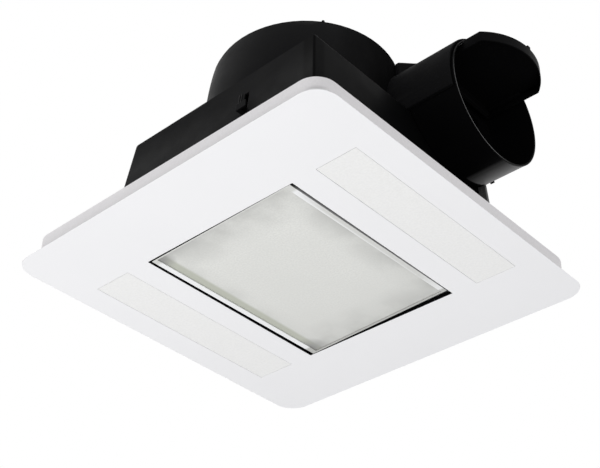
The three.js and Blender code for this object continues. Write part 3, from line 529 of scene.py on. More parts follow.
class Finish:
    """A node material under construction, with its principled shader."""

    def __init__(self, name, colour):
        material = bpy.data.materials.new(name)
        material.use_nodes = True
        MATERIALS[name] = material
        self.nodes = material.node_tree.nodes
        self.links = material.node_tree.links
        self.shader = self.nodes["Principled BSDF"]
        self.coords = self.nodes.new("ShaderNodeTexCoord")
        self.paint = colour
        self.rough = None

    def set(self, name, value):
        self.shader.inputs[name].default_value = value

    def noise(self, cells, detail=SOME_DETAIL, stretch=EVEN):
        """Noise of so many cells to a metre."""
        place = self.nodes.new("ShaderNodeMapping")
        place.inputs["Scale"].default_value = stretch
        self.links.new(self.coords.outputs["Object"], place.inputs["Vector"])
        texture = self.nodes.new("ShaderNodeTexNoise")
        texture.inputs["Scale"].default_value = cells
        texture.inputs["Detail"].default_value = detail
        self.links.new(place.outputs["Vector"], texture.inputs["Vector"])
        return texture.outputs["Fac"]

    def patches(self, cells, band=WIDE_BAND, detail=LITTLE_DETAIL, stretch=EVEN, levels=FULL_LEVELS):
        """Noise with a band of its values spread between two levels."""
        return self.ranged(self.noise(cells, detail, stretch), band, levels)

    def along(self, axis):
        """The place on the object along X, Y or Z, in metres."""
        split = self.nodes.new("ShaderNodeSeparateXYZ")
        self.links.new(self.coords.outputs["Object"], split.inputs["Vector"])
        return split.outputs[axis]

    def away(self, axis, middle=0.0):
        """How far a place lies from a middle along an axis, to either side."""
        return self.math("ABSOLUTE", self.math("SUBTRACT", self.along(axis), middle), 0.0)

    def facing(self, axis):
        """How far the surface faces along X, Y or Z, from -1 to 1."""
        geometry = self.nodes.new("ShaderNodeNewGeometry")
        split = self.nodes.new("ShaderNodeSeparateXYZ")
        self.links.new(geometry.outputs["Normal"], split.inputs["Vector"])
        return split.outputs[axis]

    def math(self, operation, first, second):
        """What comes of two values, which are numbers or sockets."""
        node = self.nodes.new("ShaderNodeMath")
        node.operation = operation
        for index, value in enumerate((first, second)):
            if isinstance(value, float):
                node.inputs[index].default_value = value
            else:
                self.links.new(value, node.inputs[index])
        return node.outputs["Value"]

    def both(self, first, second):
        """Two shares times each other, which is high only where both are."""
        return self.math("MULTIPLY", first, second)

    def ranged(self, value, band, levels=FULL_LEVELS):
        """A value brought from the two ends of a band to two levels, and held between them."""
        remap = self.nodes.new("ShaderNodeMapRange")
        for name, limit in zip(("From Min", "From Max", "To Min", "To Max"), (*band, *levels)):
            remap.inputs[name].default_value = limit
        self.links.new(value, remap.inputs["Value"])
        return remap.outputs["Result"]

    def by_place(self, axis, places, levels=FULL_LEVELS):
        """A fade along X, Y or Z, between two places on the object."""
        return self.ranged(self.along(axis), places, levels)

    def by_turn(self, axis, turns):
        """A fade by how far the surface faces along X, Y or Z."""
        return self.ranged(self.facing(axis), turns)

    def mixed(self, share, first, second):
        """A colour between two colours, which are values or sockets."""
        mix = self.nodes.new("ShaderNodeMix")
        mix.data_type = "RGBA"
        self.links.new(share, mix.inputs["Factor"])
        for name, colour in (("A", first), ("B", second)):
            if isinstance(colour, tuple):
                mix.inputs[name].default_value = (*colour, 1.0)
            else:
                self.links.new(colour, mix.inputs[name])
        return mix.outputs["Result"]

    def over(self, share, colour):
        """Lays a colour over what is painted so far, as fully as a share says."""
        self.paint = self.mixed(share, self.paint, colour)
        self.links.new(self.paint, self.shader.inputs["Base Color"])

    def roughness(self, value):
        self.rough = value
        self.links.new(value, self.shader.inputs["Roughness"])

    def dull(self, share, amount):
        """Adds to the roughness where a share is high."""
        self.roughness(self.math("ADD", self.rough, self.both(share, amount)))

    def grain(self, cells, strength, depth=GRAIN_DEPTH, stretch=EVEN):
        """Small bumps, so many to a metre."""
        node = self.nodes.new("ShaderNodeBump")
        node.inputs["Strength"].default_value = strength
        node.inputs["Distance"].default_value = depth
        self.links.new(self.noise(cells, LITTLE_DETAIL, stretch), node.inputs["Height"])
        self.links.new(node.outputs["Normal"], self.shader.inputs["Normal"])


def toned(colour, share):
    """A colour scaled by a share, to a lighter or a darker tone."""
    return tuple(min(1.0, value * share) for value in colour)


def moulded(name, colour, other):
    """Moulded plastic with slow changes of tone and a fine grain."""
    surface = {**USUAL_SURFACE, **SURFACES[name]}
    finish = Finish(name, colour)
    finish.over(finish.patches(TONE_CELLS), other)
    levels = shifted(ROUGH_SPREAD, surface["roughness"])
    finish.roughness(finish.patches(ROUGH_CELLS, detail=SOME_DETAIL, levels=levels))
    finish.set("Specular IOR Level", surface["specular"])
    finish.grain(GRAIN_CELLS, surface["grain"])
    return finish


def fascia_white():
    """The plate's white, with painted shade round its edge, which tones down the light on its lip."""
    finish = moulded("fascia_white", FASCIA_WHITE, toned(FASCIA_WHITE, FASCIA_TONE_SHARE))
    edge = finish.by_turn("Z", FASCIA_EDGE_TURN)
    # painted shade on the plate's edge, by the way it faces
    finish.over(edge, toned(FASCIA_WHITE, FASCIA_EDGE_SHADE_SHARE))


def frame_white():
    """The frame's white, shaded above the plate at its near corner and along its -Y side."""
    finish = moulded("frame_white", FRAME_WHITE, FRAME_WHITE)
    finish.over(finish.patches(FRAME_CELLS), toned(FRAME_WHITE, FRAME_SPECKLE_SHARE))
    shade = toned(FRAME_WHITE, FRAME_SHADE_SHARE)
    depth = finish.by_place("Z", shifted(SHADE_FADE, SHADE_FOOT))
    to_right = finish.by_turn("X", RIGHT_TURN)
    to_near = finish.by_turn("Y", NEAR_TURN)
    corner = finish.ranged(finish.both(to_right, to_near), CORNER_TURN, CORNER_LEVELS)
    finish.over(finish.both(depth, corner), shade)
    close = finish.by_place("Z", shifted(LINE_FADE, SHADE_FOOT))
    near_side = finish.by_turn("Y", LINE_TURN)
    along = finish.by_place("X", LINE_ALONG, LINE_LEVELS)
    finish.over(finish.both(finish.both(close, near_side), along), shade)


def black_plastic(name, colour, tone_share=BLACK_TONE_SHARE, dust_share=BLACK_DUST_SHARE):
    """Dark moulded plastic with a fine sparkle of dust in its grain."""
    finish = moulded(name, colour, toned(colour, tone_share))
    finish.over(finish.patches(DUST_CELLS, DUST_BAND), toned(colour, dust_share))
    return finish


def housing_black():
    """The box's black, with painted shade on its +X wall under the duct, and darker down its near
    corner.
    """
    finish = black_plastic("housing_black", HOUSING_BLACK, HOUSING_TONE_SHARE, HOUSING_DUST_SHARE)
    # painted shade: the +X wall goes to the duct's deeper black towards +Y, under the duct
    fade = finish.by_place("Y", WALL_SHADE_FADE)
    wall = finish.mixed(fade, HOUSING_BLACK, DUCT_BLACK)
    finish.over(finish.by_turn("X", WALL_SHADE_TURN), wall)
    across = finish.math("SUBTRACT", finish.along("X"), finish.along("Y"))
    lean = finish.math("MULTIPLY", finish.along("Z"), 2 * WALL_LEAN)
    upright = finish.math("ADD", across, lean)
    corner = finish.ranged(upright, shifted(CORNER_FADE, 2 * WALL_FOOT))
    finish.over(corner, DUCT_BLACK)


def scroll_black():
    """The drum's black, with painted shade on its flank towards the duct, which is also duller, and a
    duller neck.
    """
    finish = black_plastic("black_plastic", SCROLL_BLACK)
    towards = finish.math("ADD", finish.facing("X"), finish.facing("Y"))
    flank = finish.ranged(towards, FLANK_TURN)
    # painted shade on the flank that faces +X and +Y
    finish.over(flank, toned(DUCT_BLACK, FLANK_SHADE_SHARE))
    finish.dull(flank, FLANK_DULL)
    neck = finish.by_place("X", NECK_FADE)
    upper = finish.math("SUBTRACT", finish.facing("Z"), finish.facing("Y"))
    finish.dull(finish.both(finish.ranged(upper, NECK_TURN), neck), NECK_DULL)


def duct_black():
    """The spigot's black, with painted light on its lower +Y side: a reflection from below, grey, then
    brighter.
    """
    finish = moulded("duct_black", DUCT_BLACK, toned(DUCT_BLACK, DUCT_TONE_SHARE))
    root = box_of("outlet_spigot")[0][0]
    under = finish.by_turn("Z", UNDERSIDE_TURN)
    below = finish.both(under, finish.by_place("X", shifted(PAINTED_LIGHT_FADE, root)))
    # painted light: a reflection from below on the spigot's underside
    for turn, colour in ((PAINTED_GLOW_TURN, UNDERSIDE_PAINTED_GLOW), (LIGHT_TURN, UNDERSIDE_PAINTED_LIGHT)):
        finish.over(finish.both(below, finish.by_turn("Y", turn)), colour)


def flap_black():
    black_plastic("flap_black", DUCT_BLACK)


def rim_black():
    """The mouth's rim, with a painted highlight on its lower side."""
    finish = moulded("rim_black", DUCT_BLACK, DUCT_BLACK)
    middle = middle_of("outlet_spigot")
    below_y = finish.math("SUBTRACT", middle[1], finish.along("Y"))
    below_z = finish.math("SUBTRACT", middle[2], finish.along("Z"))
    reach = finish.math("ADD", below_y, below_z)
    highlight = finish.ranged(reach, scaled(HIGHLIGHT_SHARES, duct_radius()))
    front = finish.by_turn("X", RIM_TURN)
    # painted highlight on the rim's lower side, where it faces +X
    finish.over(finish.both(highlight, front), RIM_PAINTED_HIGHLIGHT)


def lit_rib_black():
    # A lighter black than the wall: painted highlight on the ribs beside a clamp's slot.
    black_plastic("lit_rib_black", RIB_LIT_BLACK)


def lit_tip_black():
    # A lighter black than the wall: painted light on the corner lug, which stands in shade.
    black_plastic("lit_tip_black", TIP_LIT_BLACK)


def grey_plastic():
    moulded("grey_plastic", GREY, toned(GREY, GREY_TONE_SHARE))


def terminal_plastic():
    moulded("terminal_plastic", TERMINAL_GREY, TERMINAL_DARK)


def circuit_board():
    moulded("circuit_board", BOARD_WHITE, BOARD_DARK)


def ceramic():
    moulded("ceramic", CERAMIC_WHITE, CERAMIC_DARK)


def motor_steel():
    moulded("motor_steel", MOTOR_STEEL, MOTOR_DARK)


def gap_painted_light(finish):
    """How much painted light greys the gap round the window: the gap is painted black shade, greyer
    along its +X side.
    """
    half_x, half_y = box_of("heater_bezel")[1][:2]
    side = finish.by_place("X", scaled(GAP_SIDE_SHARES, half_x))
    between = finish.ranged(finish.away("Y"), scaled(GAP_END_SHARES, half_y))
    return finish.both(side, between)


def gap_shade_dark():
    """The liner's painted black shade, greyed by painted light along the window's +X side."""
    finish = moulded("gap_shade_dark", GAP_SHADE_BLACK, GAP_SHADE_BLACK)
    finish.over(gap_painted_light(finish), GAP_PAINTED_LIGHT_GREY)


def bezel_metal():
    """The window's frame: painted white, with painted shade greying three rails, and painted shade
    down its outer sides, greyed by painted light along the +X side.
    """
    finish = moulded("bezel_metal", BEZEL_WHITE, BEZEL_WHITE)
    half_x, half_y = box_of("heater_bezel")[1][:2]
    # painted shade on the rails that face away from the light
    rail_shade = toned(GLASS, RAIL_SHADE_SHARE)
    far_rail = finish.by_place("X", scaled(FAR_RAIL_SHARES, half_x))
    inside = finish.ranged(finish.away("Y"), scaled(FAR_RAIL_END_SHARES, half_y))
    finish.over(finish.both(far_rail, inside), rail_shade)
    finish.over(finish.by_place("Y", scaled(NEAR_RAIL_SHARES, half_y)), rail_shade)
    end_rail = finish.by_place("Y", scaled(END_RAIL_SHARES, half_y))
    finish.over(end_rail, toned(GLASS, END_RAIL_SHADE_SHARE))
    out_x = finish.both(finish.facing("X"), finish.along("X"))
    out_y = finish.both(finish.facing("Y"), finish.along("Y"))
    # painted shade down the outer sides, in the gap round the window
    outward = finish.ranged(finish.math("ADD", out_x, out_y), scaled(OUTER_SHARES, half_x))
    finish.over(outward, finish.mixed(gap_painted_light(finish), GAP_SHADE_BLACK, GAP_PAINTED_LIGHT_GREY))


def diffuser():
    """Milky plastic with a fine speckle."""
    finish = Finish("diffuser", DIFFUSER_WHITE)
    speckle = finish.patches(DIFFUSER_CELLS, MIDDLE_BAND)
    finish.over(speckle, toned(DIFFUSER_WHITE, DIFFUSER_TONE_SHARE))
    finish.set("Roughness", DIFFUSER_ROUGHNESS)
    finish.set("Subsurface Weight", DIFFUSER_SOFT_SHARE)
    finish.set("Subsurface Radius", (DIFFUSER_REACH,) * 3)
    finish.grain(DIFFUSER_GRAIN_CELLS, DIFFUSER_GRAIN, DIFFUSER_GRAIN_DEPTH)


def glass_band_shade(finish, side):
    """How strongly painted shade, tinted olive, lies along the glass's -X side, where the reflector
    behind it ends.
    """
    inner = finish.by_place("X", shifted(BAND_INNER_FADE, side))
    outer = finish.by_place("X", shifted(BAND_OUTER_FADE, side))
    return finish.both(inner, outer)


def glass_rim(finish):
    """How near a place on the glass lies to its rim, from 0 to 1."""
    nearness = []
    middle = middle_of("heater_glass")
    high = box_of("heater_glass")[1]
    for index, axis in enumerate("XY"):
        away = finish.away(axis, middle[index])
        nearness.append(finish.ranged(away, scaled(GLASS_RIM_SHARES, high[index] - middle[index])))
    return finish.math("MAXIMUM", *nearness)


def glass_corner_shade(finish, x, y, reach):
    """A patch of painted shade round a place on the glass."""
    away_x = finish.away("X", x)
    away_y = finish.away("Y", y)
    squares = finish.math("ADD", finish.both(away_x, away_x), finish.both(away_y, away_y))
    distance = finish.math("SQRT", squares, 0.0)
    return finish.ranged(distance, (reach, CORNER_SHADE_CORE_SHARE * reach))


def frosted_glass():
    """Frosted glass with pale clouds, greyer to its +Y end, with painted shade where the reflector
    behind it ends: round its rim, in its two -X corners and in an olive band along its -X side.
    """
    finish = Finish("frosted_glass", GLASS)
    low, high = box_of("heater_glass")
    cloud = finish.patches(CLOUD_CELLS, MIDDLE_BAND, MOST_DETAIL, CLOUD_STRETCH)
    finish.over(cloud, toned(GLASS, CLOUD_TONE_SHARE))
    finish.over(finish.patches(GLASS_CELLS), toned(GLASS, GLASS_SPECKLE_SHARE))
    end = finish.by_place("Y", (GLASS_END_START, high[1] - GLASS_END_INSET))
    finish.over(end, toned(GLASS, GLASS_END_SHARE))
    # painted shade round the rim, where the reflector behind the glass ends
    patches = finish.patches(GLASS_RIM_CELLS, GLASS_RIM_BAND, MORE_DETAIL, levels=GLASS_RIM_LEVELS)
    finish.over(finish.both(glass_rim(finish), patches), toned(GLASS, GLASS_RIM_SHADE_SHARE))
    finish.over(glass_band_shade(finish, low[0]), BAND_SHADE_OLIVE)
    # painted shade in the glass's two -X corners
    in_x, in_y = LEFT_SHADE_INSETS
    finish.over(glass_corner_shade(finish, low[0] + in_x, low[1] + in_y, LEFT_SHADE_REACH), CORNER_SHADE_GREY)
    in_x, in_y = LOWER_SHADE_INSETS
    finish.over(glass_corner_shade(finish, low[0] + in_x, high[1] - in_y, LOWER_SHADE_REACH), CORNER_SHADE_GREY)
    finish.set("Roughness", GLASS_ROUGHNESS)
    finish.set("Specular IOR Level", GLASS_SPECULAR)
    finish.grain(GLASS_GRAIN_CELLS, GLASS_GRAIN)


def metal(name, colour, other, roughness, stretch=EVEN):
    """Metal with streaks in its tone and in its roughness."""
    finish = Finish(name, colour)
    finish.over(finish.patches(STREAK_CELLS, detail=SOME_DETAIL, stretch=stretch), other)
    finish.set("Metallic", 1.0)
    levels = shifted(METAL_ROUGH_SPREAD, roughness)
    finish.roughness(finish.patches(METAL_ROUGH_CELLS, WIDE_BAND, SOME_DETAIL, stretch, levels))
    finish.grain(METAL_GRAIN_CELLS, METAL_GRAIN, stretch=stretch)


def bright_metal():
    metal("bright_metal", METAL, toned(METAL, METAL_TONE_SHARE), METAL_ROUGHNESS, BRUSHED)


def steel():
    metal("steel", STEEL, STEEL_DARK, STEEL_ROUGHNESS)


def quartz():
    """Amber quartz that lets light through."""
    finish = Finish("quartz", QUARTZ_AMBER)
    finish.over(finish.noise(QUARTZ_CELLS), QUARTZ_DARK)
    finish.set("Roughness", QUARTZ_ROUGHNESS)
    finish.set("Transmission Weight", QUARTZ_CLEAR_SHARE)


def make_materials():
    for make in (
        fascia_white,
        frame_white,
        diffuser,
        frosted_glass,
        bright_metal,
        bezel_metal,
        steel,
        motor_steel,
        scroll_black,
        housing_black,
        duct_black,
        flap_black,
        gap_shade_dark,
        lit_rib_black,
        lit_tip_black,
        rim_black,
        grey_plastic,
        terminal_plastic,
        ceramic,
        quartz,
        circuit_board,
    ):
        make()


SLOTS = {row["node"]: row["material_slot"] for row in frame["record"]["subparts"]}
NODE_FINISHES = {
    "housing": "housing_black",
    "terminal_box": "housing_black",
    "outlet_spigot": "duct_black",
    "damper_flap": "flap_black",
    "heater_bezel": "bezel_metal",
}


def body_of_node(node):
    groups = frame["record"]["behaviour"]["bodies"]
    return next(body for body, members in groups.items() if node in members)


def material_of_node(node):
    return MATERIALS[NODE_FINISHES.get(node, SLOTS[node])]


def smooth(mesh):
    mesh.polygons.foreach_set("use_smooth", [True] * len(mesh.polygons))
    mesh.set_sharp_from_angle(angle=SHARP_ANGLE)


def dress_nodes():
    """Gives each CAD node its material and smooth shading over its round faces."""
    for name, node in frame["nodes"].items():
        node.data.materials.clear()
        node.data.materials.append(material_of_node(name))
        smooth(node.data)


# Pieces


def add_piece(name, work, body, material, width):
    """Makes an object of a mesh under construction, with rounded edges, which rides on a body."""
    if width:
        weigh_edges(work, width)
    mesh = bpy.data.meshes.new(name)
    work.to_mesh(mesh)
    work.free()
    mesh.materials.append(material)
    smooth(mesh)
    piece = added(name, mesh)
    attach(piece, body)
    if width:
        round_edges(piece, width)
    return piece


def weigh_edges(work, width):
    """Weights that round long edges fully, and short ones as far as their neighbours allow."""
    layer = work.edges.layers.float.new("bevel_weight_edge")
    for edge in work.edges:
        if edge.calc_face_angle(0.0) < BEVEL_ANGLE:
            continue
        near = min(other.calc_length() for vert in edge.verts for other in vert.link_edges)
        edge[layer] = min(1.0, BEVEL_ROOM_SHARE * near / width)


def round_edges(piece, width):
    bevel = piece.modifiers.new("edges", "BEVEL")
    bevel.width = width
    bevel.segments = BEVEL_STEPS
    bevel.limit_method = "WEIGHT"
    bevel.use_clamp_overlap = False
    bevel.harden_normals = True


def softened(node, width, moved=None, prepare=None):
    """A copy of a CAD node with its flat faces merged, its points moved and its edges rounded."""
    work = bmesh.new()
    work.from_mesh(frame["nodes"][node].data)
    bmesh.ops.remove_doubles(work, verts=work.verts, dist=WELD)
    bmesh.ops.dissolve_limit(work, angle_limit=FLAT_ANGLE, verts=work.verts, edges=work.edges)
    bmesh.ops.connect_verts_concave(work, faces=work.faces)
    if prepare is not None:
        prepare(work)
    if moved is not None:
        for vert in work.verts:
            vert.co = moved(vert.co)
    work.normal_update()
    name = f"{node}_moulded"
    piece = add_piece(name, work, body_of_node(node), material_of_node(node), width)
    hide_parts(node)


def built_piece(name, work, node, finish, width=0.0):
    """A detail modelled here, which rides on a node's body and takes a named material."""
    bmesh.ops.remove_doubles(work, verts=work.verts, dist=WELD)
    bmesh.ops.recalc_face_normals(work, faces=work.faces)
    return add_piece(name, work, body_of_node(node), MATERIALS[finish], width)


def circle(radius, steps):
    turns = [2 * math.pi * step / steps for step in range(steps)]
    return [(radius * math.cos(turn), radius * math.sin(turn)) for turn in turns]


def level_loop(work, outline, height, place):
    """Adds the points of an outline at a height, and puts them in place."""
    return [work.verts.new(place @ Vector((x, y, height))) for x, y in outline]


def wall_between(work, lower, upper):
    """Joins two loops of points by a wall of faces."""
    for index, corner in enumerate(lower):
        after = (index + 1) % len(lower)
        work.faces.new((corner, lower[after], upper[after], upper[index]))


def prism(work, outline, low, high, place=UNMOVED):
    """Raises a plan outline between two heights, then puts it in place."""
    foot = level_loop(work, outline, low, place)
    head = level_loop(work, outline, high, place)
    work.faces.new(foot[::-1])
    work.faces.new(head)
    wall_between(work, foot, head)


def rings(work, profile, place=UNMOVED):
    """Joins outlines at several heights into a surface. Each entry is an outline and its height."""
    loops = [level_loop(work, outline, height, place) for outline, height in profile]
    for lower, upper in zip(loops, loops[1:]):
        wall_between(work, lower, upper)


def sleeve(work, outer, inner, low, high, place=UNMOVED):
    """A ring between two outlines that have as many points as each other."""
    rings(work, [(outer, low), (outer, high), (inner, high), (inner, low), (outer, low)], place)


def close_block(work, corners):
    """Closes eight corners into a block: four at one height and four at another."""
    for face in BLOCK_FACES:
        work.faces.new([corners[index] for index in face])


def box_outline(half_x, half_y):
    return [(-half_x, -half_y), (half_x, -half_y), (half_x, half_y), (-half_x, half_y)]


# Heater window


def window_move(point):
    """A point of the heater window, shifted with the window's four corners."""
    low, high = box_of("heater_bezel")
    share_x = (point.x - low[0]) / (high[0] - low[0])
    share_y = (point.y - low[1]) / (high[1] - low[1])
    shift = Vector((0.0, 0.0, 0.0))
    for (side_x, side_y), (move_x, move_y) in WINDOW_MOVES.items():
        weight_x = share_x if side_x > 0 else 1 - share_x
        weight_y = share_y if side_y > 0 else 1 - share_y
        shift += Vector((move_x, move_y, 0.0)) * weight_x * weight_y
    return point + shift


def make_opening_liner():
    """A dark liner down the walls of the plate's opening, round the window: a sheet of painted shade
    in the gap.
    """
    high = box_of("heater_bezel")[1]
    foot = box_of("fascia_plate")[0][2] + LINER_INSET
    half_x = high[0] + WINDOW_GAP
    half_y = high[1] + WINDOW_GAP
    inner = box_outline(half_x - LINER_THICK, half_y - LINER_THICK)
    work = bmesh.new()
    sleeve(work, box_outline(half_x, half_y), inner, foot, foot + LINER_HEIGHT)
    built_piece("opening_shade_liner", work, "fascia_plate", "gap_shade_dark")


# Screws


def cross_outline():
    """The plan of a cross recess, counter-clockwise."""
    half = CROSS_WIDTH / 2
    corners = []
    for quarter in range(4):
        turn = Matrix.Rotation(quarter * math.pi / 2, 2)
        for point in ((half, half), (half, CROSS_REACH), (-half, CROSS_REACH)):
            corners.append(tuple(turn @ Vector(point)))
    return corners


def screw_top(work, radius, place):
    """The head's flat top with its cross recess."""
    rim = circle(radius, SMALL_STEPS)
    cross = cross_outline()
    points = [Vector((x, y, 0.0)) for x, y in rim + cross]
    corners = [work.verts.new(place @ point) for point in points]
    loops = [points[:SMALL_STEPS], points[SMALL_STEPS:]]
    for triangle in tessellate_polygon(loops):
        work.faces.new([corners[index] for index in triangle])
    floor = level_loop(work, cross, -CROSS_DEPTH, place)
    work.faces.new(floor)
    wall_between(work, corners[SMALL_STEPS:], floor)


def screw_profile(radius, length):
    """Radii and heights of a pan head and a threaded shank, from the head's top down."""
    points = [(reach * radius, -depth * SCREW_HEAD) for reach, depth in HEAD_SHARES]
    points.append((SCREW_SHANK, -SCREW_HEAD))
    turns = int((length - SCREW_HEAD - 2 * SCREW_SHANK) / SCREW_PITCH)
    for turn in range(turns):
        height = -SCREW_HEAD - turn * SCREW_PITCH
        points.append((THREAD_ROOT_SHARE * SCREW_SHANK, height - SCREW_PITCH / 4))
        points.append((SCREW_SHANK, height - 3 * SCREW_PITCH / 4))
    points.append((THREAD_ROOT_SHARE * SCREW_SHANK, -length + SCREW_SHANK))
    points.append((TIP_SHARE * SCREW_SHANK, -length))
    return points


def detailed_screw(node, faces_up):
    """A cross-head screw in the place of a plain one."""
    low, high = box_of(node)
    middle_x, middle_y, _ = middle_of(node)
    radius = (high[0] - low[0]) / 2
    place = Matrix.Translation((middle_x, middle_y, high[2] if faces_up else low[2]))
    if not faces_up:
        place = place @ Matrix.Rotation(math.pi, 4, "X")
    work = bmesh.new()
    profile = screw_profile(radius, high[2] - low[2])
    rings(work, [(circle(reach, SMALL_STEPS), height) for reach, height in profile], place)
    tip_radius, tip = profile[-1]
    work.faces.new(level_loop(work, circle(tip_radius, SMALL_STEPS), tip, place))
    screw_top(work, profile[0][0], place)
    piece = built_piece(f"{node}_threaded", work, node, "steel")
    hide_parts(node)


def make_screws():
    for index in range(1, TOP_SCREWS + 1):
        detailed_screw(f"lid_screw_{index}", faces_up=True)
        detailed_screw(f"motor_screw_{index}", faces_up=True)
    for index in range(1, HOUSING_SCREWS + 1):
        detailed_screw(f"housing_screw_{index}", faces_up=False)
    for name in ("near", "far"):
        detailed_screw(f"clamp_screw_{name}", faces_up=False)


# Lid


def make_lid_ribs():
    """Two rings and spokes between them, which stiffen the lid."""
    top = box_of("scroll_lid")[1][2]
    foot = top - WELD
    head = top + LID_RIB_HEIGHT
    work = bmesh.new()
    for radius in (LID_RIB_START, LID_RIB_END):
        inner = circle(radius - LID_RIB_WIDTH, LID_STEPS)
        sleeve(work, circle(radius, LID_STEPS), inner, foot, head)
    middle = (LID_RIB_START + LID_RIB_END - LID_RIB_WIDTH) / 2
    half = (LID_RIB_END - LID_RIB_WIDTH - LID_RIB_START) / 2
    for spoke in range(LID_RIBS):
        turn = Matrix.Rotation((2 * spoke + 1) * math.pi / LID_RIBS, 4, "Z")
        place = turn @ Matrix.Translation((middle, 0.0, 0.0))
        prism(work, box_outline(half, LID_RIB_WIDTH / 2), foot, head, place)
    built_piece("lid_ribs", work, "scroll_lid", "black_plastic", LID_RIB_EDGE)


def make_lid_nub():
    """A small round nub at the lid's edge."""
    high = box_of("scroll_lid")[1]
    reach = high[0] - LID_NUB_INSET
    top = box_of("lid_screw_1")[1][2] - WELD
    place = Matrix.Translation((reach * math.cos(LID_NUB_ANGLE), reach * math.sin(LID_NUB_ANGLE), 0.0))
    work = bmesh.new()
    prism(work, circle(LID_NUB_RADIUS, SMALL_STEPS), high[2] - WELD, top, place)
    built_piece("lid_nub", work, "scroll_lid", "black_plastic", LID_NUB_EDGE)


# Housing


def wall_reach(height):
    """How far the housing's leaning walls stand from its middle at a height."""
    return WALL_FOOT - WALL_LEAN * height


def lip_move(point):
    """A point of the plate, drawn in where it is the plate's upper edge, which then hides."""
    low, high = box_of("fascia_plate")
    half = high[0] - LIP_DRAW
    lip_top = box_of("ceiling_frame")[0][2] + LIP_DRAW
    if point.z < low[2] + WELD or point.z > lip_top or max(abs(point.x), abs(point.y)) < half:
        return point
    share = half / high[0]
    return Vector((point.x * share, point.y * share, point.z))


def cut_drum(work):
    """Cuts the drum's wall at several heights, so that it can bend there."""
    low, high = box_of("scroll_housing")
    reach = DRUM_ROOM_SHARE * box_of("scroll_lid")[1][0]
    upward = (0.0, 0.0, 1.0)
    for cut in range(1, DRUM_CUTS + 1):
        faces = [face for face in work.faces if all(vert.co.xy.length < reach for vert in face.verts)]
        edges = {edge for face in faces for edge in face.edges}
        corners = {vert for face in faces for vert in face.verts}
        parts = [*corners, *edges, *faces]
        level = (0.0, 0.0, low[2] + (high[2] - low[2]) * cut / (DRUM_CUTS + 1))
        bmesh.ops.bisect_plane(work, geom=parts, dist=WELD, plane_co=level, plane_no=upward)


def drum_weight(point):
    """How fully the drum's draft applies at a point: not at all round the neck."""
    neck = box_of("outlet_spigot")[0][1]
    return min(1.0, max(0.0, -point.x / DRUM_FADE, (neck - point.y) / DRUM_FADE))


def drum_move(point):
    """A point of the scroll casing, with the drum's draft. The neck stays as it is."""
    low, high = box_of("scroll_housing")
    drum = box_of("scroll_lid")[1][0]
    reach = math.hypot(point.x, point.y)
    if reach > DRUM_ROOM_SHARE * drum or reach < DRUM_CORE_SHARE * drum:
        return point
    height_share = min(1.0, max(0.0, (point.z - low[2]) / (high[2] - low[2])))
    share = 1 + DRUM_DRAFT_SHARE * drum_weight(point) * (1 - height_share**DRUM_CURVE)
    return Vector((point.x * share, point.y * share, point.z))


def foot_move(point):
    """A point of a clamp, whose foot gets a little smaller and moves along the wall on its web."""
    side = 1 if point.y > 0 else -1
    wall = wall_reach(SLOT_FOOT)
    middle = middle_of("clamp_screw_near" if side < 0 else "clamp_screw_far")[0]
    across = point.x - middle
    beyond = abs(point.y) - wall
    if beyond < 0 or abs(across) < FOOT_WEB_HALF:
        return point
    along = middle + FOOT_WIDTH_SHARE * across - side * FOOT_SHIFT
    reach = beyond if beyond < FOOT_ROOT else FOOT_REACH_SHARE * beyond
    return Vector((along, side * (wall + reach), point.z))


def make_corner_lug():
    """A lug that stands out of the +X wall beside its +Y corner."""
    work = bmesh.new()
    corners = []
    for height in (CORNER_LUG_LOW, CORNER_LUG_HIGH):
        wall = wall_reach(height)
        for x in (wall - CORNER_LUG_SUNK, wall + CORNER_LUG_PROUD):
            for y in (CORNER_LUG_FROM, CORNER_LUG_TO):
                corners.append(work.verts.new((x, y, height)))
    close_block(work, corners)
    built_piece("corner_lug", work, "housing", "lit_tip_black", CORNER_LUG_EDGE)


def slot_ribs(name, side):
    """Two slim ribs beside a clamp's slot, which lie on the leaning wall."""
    place = Matrix.Rotation(0.0 if side < 0 else math.pi, 4, "Z")
    half = SLOT_RIB_WIDTH / 2
    work = bmesh.new()
    for along in SLOT_RIB_PLACES:
        corners = []
        for height in (SLOT_RIB_LOW, SLOT_RIB_HIGH):
            face = -wall_reach(height)
            for depth in (WELD, -SLOT_RIB_PROUD):
                for edge in (-half, half):
                    point = Vector((along + edge, face + depth, height))
                    corners.append(work.verts.new(place @ point))
        close_block(work, corners)
    built_piece(f"slot_ribs_{name}", work, "housing", "lit_rib_black", SLOT_RIB_EDGE)


# Duct spigot and flap


def make_rim():
    """A slim bead round the duct spigot's mouth."""
    place = duct_place(box_of("outlet_spigot")[1][0]) @ Matrix.Rotation(math.pi / 2, 4, "Y")
    outer = circle(duct_radius() + RIM_PROUD, MOUTH_STEPS)
    inner = circle(duct_radius() - RIM_WALL, MOUTH_STEPS)
    work = bmesh.new()
    sleeve(work, outer, inner, -RIM_LENGTH, RIM_PROUD, place)
    built_piece("spigot_rim", work, "outlet_spigot", "rim_black", RIM_EDGE)


def make_flap_lug():
    """A small lug that stands on the flap beside its nose."""
    high = box_of("damper_flap")[1]
    along = high[0] - LUG_INSET - LUG_LENGTH / 2
    across = middle_of("outlet_spigot")[1] + LUG_SHIFT
    place = Matrix.Translation((along, across, high[2]))
    work = bmesh.new()
    prism(work, box_outline(LUG_LENGTH / 2, LUG_HALF), -WELD, LUG_PROUD, place)
    built_piece("flap_lug", work, "damper_flap", "flap_black", LUG_EDGE)


